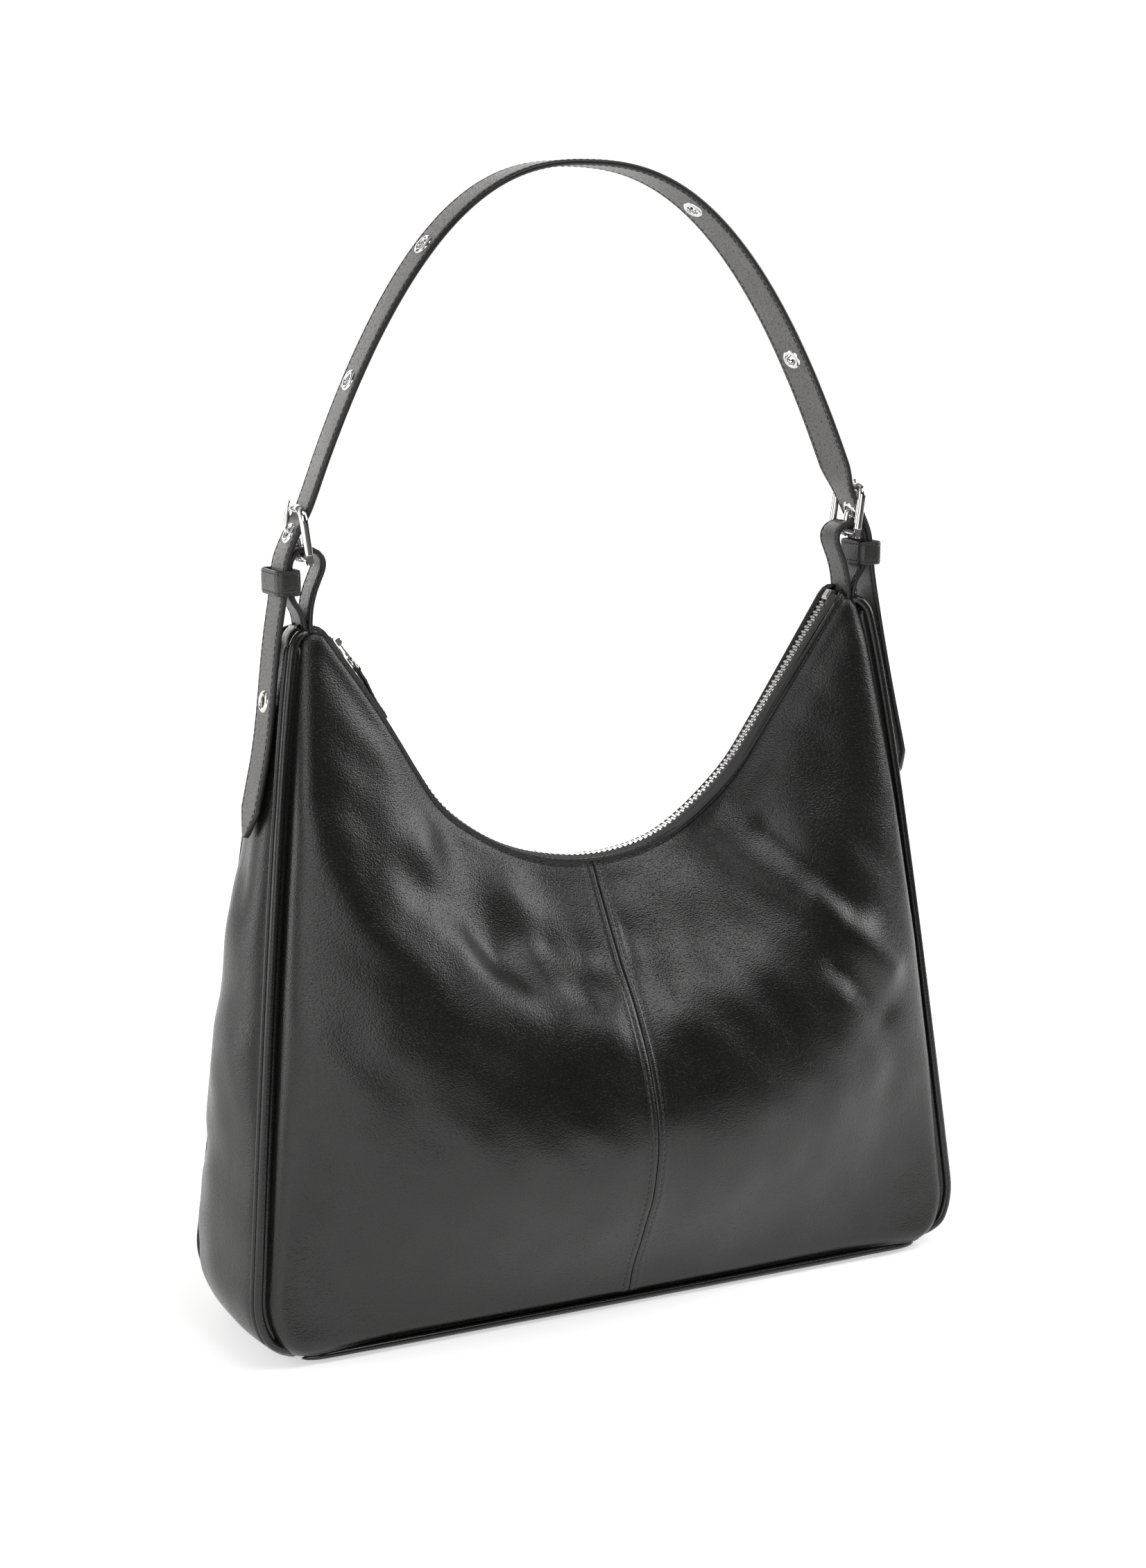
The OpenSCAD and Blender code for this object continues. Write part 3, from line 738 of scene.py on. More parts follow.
def panel_grid(side, facing):
    """Grid of a half panel's outer face with its relief, and the same a leather's thickness in.

    side is 1 for the right half and -1 for the left, facing is -1 for the front and 1 for the back.
    """
    u = graded(BASE_X, fine=0.45, coarse=2.6, band=7)
    v = graded(BODY_H * 0.9, fine=0.5, coarse=2.6, band=6)
    uu, vv = np.meshgrid(np.maximum(u, 0.0001), v, indexing="ij")
    p = panel_point(uu, vv)
    to_top = (1 - vv) * (top_z(uu * (PEAK_X - SEAM_GAP)) - PANEL_LOW)
    lean = LIP_IN if side < 0 else lerp(LIP_IN, LIP_IN_RIGHT, ramp(p[..., 0], 0, 60))
    p[..., 1] += lean * bump(to_top, 14) * (1 - 0.5 * uu**4)
    # at the peaks the panel closes over towards the tab
    over = np.clip((p[..., 2] - (BODY_H - PEAK_ROLL)) / PEAK_ROLL, 0, 1)
    p[..., 1] += PEAK_ROLL * rolled(over) * 0.6
    p[..., 2] -= 1.6 * over**2
    p[..., 2] += mouth_shift(side * p[..., 0], facing) * ramp(vv, 0.75, 1)
    n = grid_normals(p, 1, -1)
    x, z = p[..., 0], p[..., 2]
    to_seam = (1 - uu) * (ridge_x(lerp(PANEL_LOW, BODY_H, vv)) - SEAM_GAP)
    to_floor = vv * (BODY_H - PANEL_LOW)
    horn = ramp(BODY_H - z, 0, 90)  # the pillow thins out towards the peaks

    relief = beside_seam(to_seam, 2.2, 2.0, lerp(2.0, 4.4, horn), 5, 32)
    relief += beside_seam(to_floor, 1.0, 1.8, 2.2, 4.5, 24)
    away = np.clip(to_seam / 30, 0, 1) * np.clip(to_top / 22, 0, 1) * np.clip(to_floor / 30, 0, 1)
    folds = FRONT_FOLDS if facing < 0 else BACK_FOLDS
    seed = 11 if facing < 0 else 23
    steady = 1 - 0.6 * bump(x, 9)  # the seam's allowances stiffen the middle
    relief += (fold_height(x * side, z, folds) * np.clip(to_seam / 14, 0, 1) * np.clip(to_top / 9, 0, 1)
               * steady)
    relief += 0.55 * away * waves(x * side, z, 58, seed) + 0.22 * away * waves(x * side, z, 24, seed + 1)
    # middle seam: a groove between two raised allowances, pulled in at the stitches
    relief += 0.6 * bump(x - 2.2, 2.8) - 0.35 * bump(x, 0.5) - 0.45 * bump(x - SEAM_STITCH, 0.55)
    # the folded edge of the opening stands a little proud, down to its stitches
    relief += 0.85 * bump(to_top - 0.7, 0.9) - 0.55 * bump(to_top - EDGE_STITCH, 0.7)
    relief += 0.5 * bump(to_top - 6.5, 4)
    outer = p + n * relief[..., None]
    n2 = grid_normals(outer, 1, -1)
    thickness = lerp(LEATHER_T, TURNED_T, bump(to_top, 7))[..., None]
    inner = outer - n2 * thickness
    # the inside never crosses the middle or the seam
    inner[..., 0] = np.clip(inner[..., 0], 0.02, None)
    turn = np.array([side, -facing, 1])
    return outer * turn, inner * turn, n2 * turn, (u, v)


def panel_line(grid, us, vs):
    """Points and normals of a panel's grid along a line of (u, v)."""
    outer, _, normal, (u, v) = grid
    i = np.interp(us, u, np.arange(len(u)))
    j = np.interp(vs, v, np.arange(len(v)))
    i0 = np.clip(i.astype(int), 0, len(u) - 2)
    j0 = np.clip(j.astype(int), 0, len(v) - 2)
    a, b = (i - i0)[:, None], (j - j0)[:, None]
    found = [lerp(lerp(g[i0, j0], g[i0 + 1, j0], a), lerp(g[i0, j0 + 1], g[i0 + 1, j0 + 1], a), b)
             for g in (outer, normal)]
    return found[0], unit(found[1])


def make_panel(name, side, facing):
    grid = panel_grid(side, facing)
    parts = [shell(grid[0], grid[1])]
    # stitches below the edge of the opening
    us = np.linspace(0.03, 0.985, 400)
    height = top_z(us * (PEAK_X - SEAM_GAP)) - PANEL_LOW
    parts.append(stitches(*panel_line(grid, us, 1 - EDGE_STITCH / height), BODY_THREAD))
    # and beside the middle seam
    vs = np.linspace(0.01, 0.985, 300)
    width = ridge_x(lerp(PANEL_LOW, BODY_H, vs)) - SEAM_GAP
    parts.append(stitches(*panel_line(grid, SEAM_STITCH / width, vs), BODY_THREAD))
    return build(name, parts, BODY_MATERIALS, "bag", [name])


def make_gusset(name, side):
    t = graded(2 * BASE_Y, fine=0.5, coarse=2.6, band=5) * 2 - 1
    v = graded(BODY_H, fine=0.7, coarse=3.0, band=6)
    tt, vv = np.meshgrid(t, v, indexing="ij")
    p = gusset_point(tt, vv)
    over = np.clip((p[..., 2] - (BODY_H - GUSSET_ROLL)) / GUSSET_ROLL, 0, 1)
    p[..., 0] -= 4 * rolled(over)
    n = grid_normals(p, 0, 1)
    z = p[..., 2]
    to_seam = (1 - np.abs(tt)) * (ridge_y(z) - SEAM_GAP)
    away = np.clip(to_seam / 18, 0, 1) * np.clip(z / 40, 0, 1) * ramp(BODY_H - z, 0, 60)
    relief = beside_seam(to_seam, 1.2, 1.6, 1.1, 4, 14)
    relief += 0.9 * away * waves(p[..., 1], z, 62, 5 + side) + 0.3 * away * waves(p[..., 1], z, 23, 8)
    relief -= 2.0 * away * bump(z - 92, 13)  # the side gives a little low down
    relief -= 0.8 * bump(z - GUSSET_LOW, 1.6)
    outer = p + n * relief[..., None]
    inner = outer - grid_normals(outer, 0, 1) * LEATHER_T
    turn = np.array([side, 1, 1])
    return build(name, [shell(outer * turn, inner * turn)], BODY_MATERIALS, "bag", [name])


WELT_OUT, WELT_R = 2.9, 1.3  # from the seam to the welt beside the cord, and its radius
TURNED_IN, TURNED_R = 2.7, 2.9  # the same for the turned-in leather behind the cord


def make_piping(name, side, facing):
    """Rolled cord cover with a slim welt beside it, hooked over the peak towards the tab."""
    z = np.linspace(13, BODY_H - 7, 150)
    seam = np.stack([ridge_x(z), -ridge_y(z), z], 1)
    foot = through([(ridge_x(6) - 7, 7 - BASE_Y, 5.5), (ridge_x(8) - 3, 3 - BASE_Y, 8.5), seam[0]], 5)[:-1]
    hook = [(PEAK_X - 0.6, -PEAK_Y + 0.1, BODY_H - 4.2), (PEAK_X - 2.3, -PEAK_Y + 0.4, BODY_H - 1.9),
            (PEAK_X - 4.4, -PEAK_Y + 1.2, BODY_H - 1.8), (PEAK_X - 6, -PEAK_Y + 2.6, BODY_H - 3.6)]
    path = resample(np.concatenate([foot, seam, through([seam[-1], *hook], 6)[1:]]), 2, 2)
    turn = np.array([side, -facing, 1])
    cord = rod(path, PIPING_R + 0.25, (1, 0, 0), 20, tips=2)
    out = unit(np.stack([np.full(len(z), 0.75), np.full(len(z), 0.65), z * 0], 1))
    welt = rod(seam + out * WELT_OUT, WELT_R, (1, 0, 0), 14, tips=4)
    # the seam's turned-in leather, behind the cord
    turned = rod(seam + [-TURNED_IN, TURNED_IN, 0], TURNED_R, (1, 0, 0), 14, tips=5)
    return build(name, [[q[0] * turn, q[1], q[2]] for q in (cord, welt, turned)], [PIPING_LEATHER], "bag",
                 [name])


def make_base():
    t = graded(2 * BASE_Y, fine=0.8, coarse=5, band=4) * 2 - 1
    u = graded(2 * BASE_X, fine=0.8, coarse=6, band=4) * 2 - 1
    uu, tt = np.meshgrid(u, t, indexing="ij")
    end = gusset_point(tt, np.zeros_like(tt))[..., 0] - 4 - 6 * tt**8
    half_y = (BASE_Y - 2.2) * (1 - 0.12 * uu**16)
    sag = 0.25 * waves(uu * end, tt * half_y, 70, 3) * (1 - uu**6) * (1 - tt**6)
    top = np.stack([uu * end, tt * half_y, 2.4 + 0 * uu], -1)
    low = np.stack([uu * end, tt * half_y, 0.25 + np.abs(sag) * 0.4], -1)
    parts = [shell(top, low)]
    line = np.linspace(-0.93, 0.93, 200)
    for y in (7.2 - BASE_Y, BASE_Y - 7.2):
        row = np.stack([line * (BASE_X - 24), np.full_like(line, y), np.full_like(line, 0.3)], 1)
        parts.append(stitches(row, (0, 0, -1), BODY_THREAD))
    return build("base_leather", parts, BODY_MATERIALS, "bag", ["base_panel"])


def make_base_piping(name, facing):
    half = ridge_x(PANEL_LOW) - 8
    x = half * np.sin(np.linspace(-PI / 2, PI / 2, 200))
    end = (np.abs(x) / half) ** 30
    path = np.stack([x, facing * (BASE_Y + 0.3 - 3.5 * end), 3.5 - 0.8 * end], 1)
    return build(name, [rod(path, BASE_PIPING_R, (0, 0, 1), 16, tips=9)], [PIPING_LEATHER], "bag",
                 [name])


def make_peak(name, side):
    """Leather that closes the top of a peak round the foot of the tab."""
    long, wide = 15, 17
    x = graded(long, fine=0.8, coarse=1.4, band=3) * long + PEAK_X - 16.5
    y = graded(wide, fine=0.8, coarse=1.6, band=3) * wide - wide / 2
    xx, yy = np.meshgrid(x, y, indexing="ij")
    z = BODY_H - 1.2 - 2.2 * bump(xx - PIVOT_X, 2.8) - 2.6 * np.abs(yy / (wide / 2)) ** 3
    z -= 4.5 * ramp(PEAK_X - 11 - xx, 0, 5) + 2 * ramp(xx - PEAK_X + 4, 0, 3)
    top = np.stack([xx, yy, z], -1)
    low = top - [0, 0, LEATHER_T]
    turn = np.array([side, 1, 1])
    return build(name, [shell(top * turn, low * turn)], BODY_MATERIALS, "bag",
                 [f"tab_root_{'right' if side > 0 else 'left'}"])


for side, hand in ((1, "right"), (-1, "left")):
    for facing, face in ((-1, "front"), (1, "back")):
        make_panel(f"{face}_panel_{hand}", side, facing)
        make_piping(f"piping_{face}_{hand}", side, facing)
    make_gusset(f"gusset_{hand}", side)
    make_peak(f"peak_{hand}", side)
make_base()
make_base_piping("piping_base_front", -1)
make_base_piping("piping_base_back", 1)


# ---------- Lining ----------

LINING_T = 0.7
LINING_GAP = 0.8  # from the leather's inner face to the cloth


def set_uv(mesh, flat):
    """UV map for a weave, from each point's place on the flat cloth in millimetres."""
    layer = mesh.uv_layers.new(name="cloth")
    loops = np.zeros(len(mesh.loops), int)
    mesh.loops.foreach_get("vertex_index", loops)
    layer.data.foreach_set("uv", flat[loops].ravel())


def cloth_uv(obj):
    """x across and z up, or y up where the cloth lies flat."""
    co = np.array([v.co for v in obj.data.vertices]) * (1 / MM)
    set_uv(obj.data, co[:, [0, 2]] if np.ptp(co[:, 2]) > 5 else co[:, :2])


def make_lining(name, facing, us, vs, depth, replaced):
    """Thin cloth just inside a big panel."""
    uu, vv = np.meshgrid(np.linspace(*us, 90), np.linspace(*vs, 70), indexing="ij")
    p = panel_point(np.abs(uu), vv)
    p[..., 0] *= np.sign(uu)
    n = grid_normals(p, 1, -1)
    x, z = p[..., 0], p[..., 2]
    folds = FRONT_FOLDS if facing < 0 else BACK_FOLDS
    shape = np.minimum(fold_height(x, z, folds), 0) + 0.5 * waves(x, z, 40, 31 + facing)
    shape -= LIP_IN_RIGHT * bump((1 - vv) * (top_z(x) - PANEL_LOW), 20)
    outer = (p + n * (shape - depth - LINING_GAP)[..., None]) * [1, -facing, 1]
    inner = outer - n * [1, -facing, 1] * LINING_T
    obj = build(name, [shell(outer, inner, 1)], [LINING_CLOTH], "bag", replaced)
    cloth_uv(obj)


make_lining("lining_front_cloth", -1, (-0.96, 0.96), (0.02, 0.92), 3.6, ["lining_front"])
make_lining("lining_back_cloth", 1, (-0.96, 0.96), (0.02, 0.92), 3.6, ["lining_back"])
make_lining("pocket_cloth", 1, (-0.5, 0.5), (0.42, 0.82), 5.4, ["inner_pocket"])


def make_base_lining():
    low, high = box_mm("lining_base")
    x, y = np.meshgrid(np.linspace(low[0], high[0], 60), np.linspace(low[1], high[1], 20), indexing="ij")
    top = np.stack([x, y, high[2] + 0.15 * waves(x, y, 45, 41)], -1)
    obj = build("lining_base_cloth", [shell(top, top - [0, 0, LINING_T], 1)], [LINING_CLOTH], "bag",
                ["lining_base"])
    cloth_uv(obj)


make_base_lining()
board = frame["nodes"]["base_board"]
board.data.materials.clear()
board.data.materials.append(BOARD)


# ---------- Zip ----------


def chain_point(s):
    """Middle of the row of teeth, s millimetres along it from its lowest point."""
    s = np.asarray(s, float)
    angle = np.clip(s / ARC_S, -1, 1) * CHAIN_SLOPE
    rest = np.sign(s) * np.maximum(np.abs(s) - ARC_S, 0)
    x = CHAIN_R * np.sin(angle) + rest * math.cos(CHAIN_SLOPE)
    z = CHAIN_LOW + CHAIN_R * (1 - np.cos(angle)) + np.abs(rest) * math.sin(CHAIN_SLOPE)
    return np.stack([x, np.zeros_like(s), z + mouth_shift(x)], -1)


def chain_frame(s):
    """3x3 matrix whose X runs along the teeth and Z to the outside of the bag."""
    angle = float(np.clip(s / ARC_S, -1, 1)) * CHAIN_SLOPE
    c, q = math.cos(angle), math.sin(angle)
    return np.array([[c, 0, -q], [0, 1, 0], [q, 0, c]])


def on_chain(p, s):
    return moved(p, chain_frame(s), chain_point(s))


def make_tape(name, facing):
    """Woven tape that slopes from the teeth down under the leather edge."""
    end = CHAIN_S - 3.5
    s = np.linspace(-end, end, 300)
    w = np.linspace(0, 1, 9)
    angle = np.clip(s / ARC_S, -1, 1) * CHAIN_SLOPE
    up = np.stack([-np.sin(angle), 0 * s, np.cos(angle)], 1)
    drop = lerp(1.6, 3.8, np.clip(np.abs(s) / ARC_S, 0, 1))
    inner_y, outer_y = TEETH_Y - 1.7, TAPE_Y - LIP_IN + 2
    y = facing * lerp(outer_y, inner_y, w)
    fall = drop[:, None] * (1 - ramp(w, -0.4, 0.85))[None]
    middle = chain_point(s)[:, None] + up[:, None] * (0.15 - fall[..., None])
    middle = middle + np.stack([0 * y, y, 0 * y], -1)[None]
    outer = middle + up[:, None] * 0.42
    obj = build(name, [shell(outer, middle - up[:, None] * 0.42, 2)], [TAPE_CLOTH], "bag",
                [name])
    across = np.array([v.co.y for v in obj.data.vertices]) / MM
    set_uv(obj.data, np.stack([across, np.repeat(s, len(across) // len(s))], 1))


def block(x, y, z, bevel):
    """Bevelled block between (low, high) pairs."""
    return plate([(x[0], y[0]), (x[1], y[0]), (x[1], y[1]), (x[0], y[1])], *z, bevel)


def make_teeth(name, facing, shift):
    """Each tooth has a clamp round the tape's edge and a narrower head between its neighbours'."""
    clamp = block((-0.58, 0.58), (facing * 2.9, facing * 0.4)[::-facing], (-1.25, 1.25), 0.2)
    head = block((-0.56, 0.56), (facing * 0.7, -facing * 1.15)[::-facing], (-1.1, 1.1), 0.22)
    tooth = joined([clamp, head])
    last = math.floor((CHAIN_S - 11) / TOOTH_PITCH)
    places = (np.arange(-last, last + 1) + shift) * TOOTH_PITCH
    metal(name, [on_chain(tooth, s) for s in places], "bag", name, 30)


def make_stops():
    s = CHAIN_S - 5
    shape = joined([block((-3, 3), (-2.9, 2.9), (-1.6, 1.5), 0.5),
                    block((-2.1, 2.1), (-2, 2), (1.3, 2.0), 0.3)])
    metal("zip_box_stop_metal", [on_chain(shape, s)], "bag", "zip_box_stop", 30)
    stops = [on_chain(moved(block((-1.2, 1.2), (-1.1, 1.1), (-1.2, 1.2), 0.4), None, (0, y, 0)),
                      -(CHAIN_S - 6.5)) for y in (-1.6, 1.6)]
    metal("zip_top_stops_metal", stops, "bag", "zip_top_stops", 30)


def make_slider():
    """Two waisted plates, two flanges and the lugs that hold the pull's pin."""
    half = TEETH_Y + 1.5
    outline = np.array([(6, -2.6), (6, 2.6), (4.6, half - 0.4), (1, half), (-3, half), (-5.2, half - 1),
                        (-6, 2), (-6, -2), (-5.2, 1 - half), (-3, -half), (1, -half), (4.6, 0.4 - half)])
    parts = [plate(outline, 1.6, 2.9, 0.35), plate(outline, -2.9, -1.6, 0.35)]
    for y in (-1, 1):
        parts.append(block((-4.6, 4.2), tuple(sorted((y * (half - 0.9), y * half))), (0.8, 1.8), 0.2))
        lug = plate(rounded(-2.9, 2.6, 0.9, 6.1, 1.6), -0.5, 0.5, 0.18)
        parts.append(moved(lug, [[1, 0, 0], [0, 0, 1], [0, 1, 0]], (0, y * 2.3, 0)))
    pin = rod(np.stack([np.full(9, -1.0), np.linspace(-2.6, 2.6, 9), np.full(9, PIN_Z)], 1), 0.8, (1, 0, 0),
              14, tips=0.3)
    parts.append(pin)
    metal("zip_slider_metal", [on_chain(joined(parts), SLIDER_S)], "zip_slider", "zip_slider", 32)


def make_pull():
    """Link with an eye on the pin and a ring at the free end, then the leather tab on the ring."""
    eye = lathe([(0.9, -1.3), (1.65, -1.3), (1.8, -1.1), (1.8, 1.1), (1.65, 1.3), (0.9, 1.3)], 24)
    eye = moved(eye, [[1, 0, 0], [0, 0, 1], [0, -1, 0]], (-1, 0, 0))
    ring_x = 12
    link = plate(rounded(0.2, -1.3, 9, 1.3, 0.6), -0.7, 0.7, 0.3)
    turn = full_turn(40)
    ring = rod(np.stack([ring_x + 3.55 * np.cos(turn), 3.55 * np.sin(turn), 0 * turn], 1), 0.72, (0, 0, 1),
               14, closed=True)
    pull = moved(joined([eye, link, ring]), None, (0, 0, PIN_Z))
    metal("zip_pull_metal", [on_chain(pull, SLIDER_S)], "zip_pull", "zip_pull", 32)

    # leather: two layers sewn flat, with a narrow neck that turns round the ring
    neck_x = 14.3
    x = np.concatenate([np.linspace(neck_x, 18.5, 8), np.linspace(19, 44, 26)])
    width = lerp(1.5, 4.3, ramp(x, 17.5, 22)) * np.sqrt(np.clip((44.6 - x) / 4.5, 0.02, 1)) ** 0.8
    rise = lerp(1.45, 1.1, ramp(x, 15, 20))
    droop = -2.5 * ramp(x, 15, 36)
    path = np.stack([x, 0 * x, droop], 1)
    base = np.array([(-1, 0.25), (-0.9, 0.72), (-0.55, 0.92), (0, 1), (0.55, 0.92), (0.9, 0.72), (1, 0.25),
                     (1, -0.25), (0.9, -0.72), (0.55, -0.92), (0, -1), (-0.55, -0.92), (-0.9, -0.72),
                     (-1, -0.25)])
    profile = base[None] * np.stack([width, rise], 1)[:, None]
    numbers = [1 if abs(a[0]) > 0.85 and abs(b[0]) > 0.85 else 0 for a, b in zip(base, np.roll(base, -1, 0))]
    parts = [sweep(path, profile, (0, 1, 0), material=numbers)]
    inside = x > 20
    for z in (-1, 1):
        for y in (-1, 1):
            row = np.stack([x, y * (width - 1.2), droop + z * rise * 0.8], 1)[inside]
            parts.append(stitches(row, (0, 0, z), STRAP_THREAD, length=1.9, gap=0.6, thick=0.3))
    # the neck's loop round the ring
    turn = np.linspace(-PI / 2, PI / 2, 14)
    loop = np.stack([neck_x + 1.4 - 1.25 * np.cos(turn), 0 * turn, 1.1 * np.sin(turn)], 1)
    loop = np.concatenate([[(17, 0, -1.1)], loop, [(17, 0, 1.1)]])
    parts.append(sweep(loop, np.array([(-1.5, 0.35), (1.5, 0.35), (1.5, -0.35), (-1.5, -0.35)]), (0, 1, 0)))
    tab = moved(joined(parts), None, (0, 0, PIN_Z))
    build("zip_pull_leather", [on_chain(tab, SLIDER_S)], TRIM_MATERIALS, "zip_pull",
          ["zip_pull_tab"])


make_tape("zip_tape_front", -1)
make_tape("zip_tape_back", 1)
make_teeth("zip_teeth_front", -1, 0)
make_teeth("zip_teeth_back", 1, 0.5)
make_stops()
make_slider()
make_pull()


# ---------- Handle ----------


def band(width, thick, crown=0.12, groove=0.36, stitch_in=STITCH_IN):
    """Profile of a strap with painted round edges and a groove at each row of stitches.

    Returns its points and the material number of each of its sides.
    """
    half, edge = width / 2, thick / 2
    line = half - stitch_in
    across = np.unique(np.concatenate([np.linspace(-half + edge, half - edge, 13),
                                       *[s * (line + np.array([-0.8, -0.4, 0, 0.4, 0.8])) for s in (-1, 1)]]))
    height = thick / 2 + crown * (1 - (across / half) ** 2) - groove * bump(np.abs(across) - line, 0.4)
    turn = np.linspace(PI / 2, -PI / 2, 8)[1:-1]
    side = np.stack([half - edge + edge * np.cos(turn),
                     (edge - 0.06 * bump(np.sin(turn), 0.25)) * np.sin(turn)], 1)
    top = np.stack([across, height], 1)
    points = np.concatenate([top, side, top[::-1] * [1, -1], side[::-1] * [-1, 1]])
    flat, rim = len(top) - 1, len(side) + 1
    return points, [0] * flat + [1] * rim + [0] * flat + [1] * rim


TAIL = [(-4.7, 49), (-1.3, 41), (4.2, 31.1), (9.4, 19.5), (11, 8.5), (12.6, -3.5), (16.6, -23.5),
        (21.4, -45.5), (26.8, -68.5), (31.8, -88.5), (36.8, -109.5)]
CROSSING = np.array([4.2, 31.1])  # where the prong goes through the strap
TAIL_EYELET = np.array([21.4, -45.5])
ARCH_X = -5  # the arch's top stands a little left of the middle
ARCH_LEFT, ARCH_RIGHT = 140, 150
ARCH_FOOT = PIVOT_Z + 40.5
ARCH_END = 136
ARCH_EYELETS = (-83, -120, 58, 114)
ARCH_POWER = 2.4


def arch_z(x):
    reach = np.where(x < ARCH_X, ARCH_LEFT, ARCH_RIGHT)
    return STRAP_TOP - (STRAP_TOP - ARCH_FOOT) * (np.abs(x - ARCH_X) / reach) ** ARCH_POWER


def strap_path():
    """Middle line of the strap in 3D, from the left tip over the top to the right tip."""
    tail = through(TAIL, 12) + [PIVOT_X, PIVOT_Z]
    x = ARCH_END * np.sin(np.linspace(-PI / 2, PI / 2, 200))
    flat = np.concatenate([tail[::-1] * [-1, 1], np.stack([x, arch_z(x)], 1), tail])
    flat = resample(flat, 1.9, 2)
    x, z = flat[:, 0], flat[:, 1]
    # the left tail hangs closer to the gusset and a little towards the front
    below = (PIVOT_Z - z) * (x < 0)
    return np.stack([x + 4.3 * ramp(below, 5, 80), -7 * ramp(below, 5, 120), z], 1)


def strap_places(path):
    """Index on the path of every eyelet."""
    flat = path[:, [0, 2]]
    spots = [np.array([x, arch_z(np.array(float(x)))]) for x in ARCH_EYELETS]
    for at in (CROSSING, TAIL_EYELET):
        for side in (-1, 1):
            spots.append(np.array([side * (PIVOT_X + at[0]), PIVOT_Z + at[1]]))
    return [int(np.argmin(np.linalg.norm(flat - s, axis=1))) for s in spots]


TWIST = math.radians(3)  # the left tail and its keeper turn a little towards the front
# so does the arch: a little above the left buckle, more over the top and most at the right buckle
ARCH_TWIST = [math.radians(a) for a in (0, 3, 14, 19)]


def make_strap():
    path = strap_path()
    along = arc_lengths(path)
    from_tip = np.minimum(along, along[-1] - along)
    half = STRAP_W / 2
    taper = np.minimum(1, (1.2 + 0.66 * from_tip) / half)
    taper = np.where(from_tip < 20, 1 - (1 - taper) ** 1.15, 1)
    taper[[0, -1]] = 0.06
    turn = TWIST * (1 - ramp(along, 108, 150))
    turn += np.interp(along, [172, 240, 360, along[-1] - 180], ARCH_TWIST) * ramp(along[-1] - along, 154, 171)
    across = np.stack([-np.sin(turn), np.cos(turn), 0 * turn], 1)
    points, numbers = band(STRAP_W, STRAP_T)
    profile = np.broadcast_to(points, (len(path), *points.shape)).copy()
    profile[..., 0] *= taper[:, None]
    obj = build("strap_leather", [sweep(path, profile, across, material=numbers)], STRAP_MATERIALS,
                None, ["strap"])
    tangent = unit(np.gradient(path, axis=0))
    outward = unit(np.cross(across, tangent))
    holes, rings = [], []
    # rolled metal rim on each face, joined by the barrel through the hole
    face = STRAP_T / 2 + 0.12
    rim = [(2.75, face + 0.3), (3.0, face + 0.72), (3.6, face + 0.95), (4.4, face + 0.8), (5.0, face + 0.4),
           (EYELET_R, face - 0.1), (4.6, face - 0.2), (3.35, face - 0.2)]
    section = rim + [(r, -h) for r, h in reversed(rim)]
    for i in strap_places(path):
        t, n = tangent[i], outward[i]
        axes = np.stack([t, np.cross(n, t), n], 1)
        holes.append(moved(plate(circle(HOLE_R, 28), -6, 6, 0.2), axes, path[i]))
        rings.append(moved(lathe(section, 44), axes, path[i]))
    cut(obj, joined(holes))

    rows = []
    line = half - STITCH_IN
    keep = from_tip > 3.4
    for edge in (-1, 1):
        y = edge * np.maximum(line * taper - 0.6 * (taper < 0.98), 0.2)
        for face_side in (-1, 1):
            row = path + outward * face_side * (STRAP_T / 2 - 0.12) + across * y[:, None]
            rows.append(stitches(row[keep], (outward * face_side)[keep], 0, length=2.6, gap=0.7))
    build("strap_stitches", rows, [THREAD_BLACK], "handle")
    metal("strap_eyelets", rings, "handle", "eyelets", 50)
    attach(obj, "handle")


def leaned(p, side):
    """A part drawn about the heel bar, leaned outwards and put in place on one side."""
    c, s = math.cos(LEAN), math.sin(LEAN)
    return on_side(moved(p, [[c, 0, s], [0, 1, 0], [-s, 0, c]], HEEL), side)


def make_buckle(name, side):
    """Round rod bent over the top, with its two lower ends cut to flat facets."""
    y = BUCKLE_W / 2 - BAR_R
    corner = 5
    low = -3.4
    turn = np.linspace(0, PI / 2, 12)
    right = [(y, z) for z in (low, low + 0.5, -2.2, -1, 0.4, 1.2, 1.6, *np.linspace(3, BUCKLE_L - corner, 8))]
    bend = [(y - corner + corner * math.cos(t), BUCKLE_L - corner + corner * math.sin(t)) for t in turn[1:]]
    half = right + bend
    flat = half + [(-a, b) for a, b in reversed(half)]
    path = np.array([(0, a, b) for a, b in flat])
    scale = np.ones(len(path))
    scale[[0, -1]] = 0.72
    rim = rod(path, BAR_R * scale, (1, 0, 0), 28)
    points = rim[0]
    facet = points[:, 2] < 1.4
    limit = y + BAR_R * 0.66
    points[facet, 1] = np.clip(points[facet, 1], -limit, limit)
    points[facet, 0] = np.clip(points[facet, 0], -BAR_R * 0.8, BAR_R * 0.8)
    bar = rod(np.stack([0 * turn, np.linspace(-y, y, 12), 0 * turn], 1), BAR_R - 0.2, (1, 0, 0), 24)
    metal(name + "_metal", [leaned(joined([rim, bar]), side)], name, name, 28)


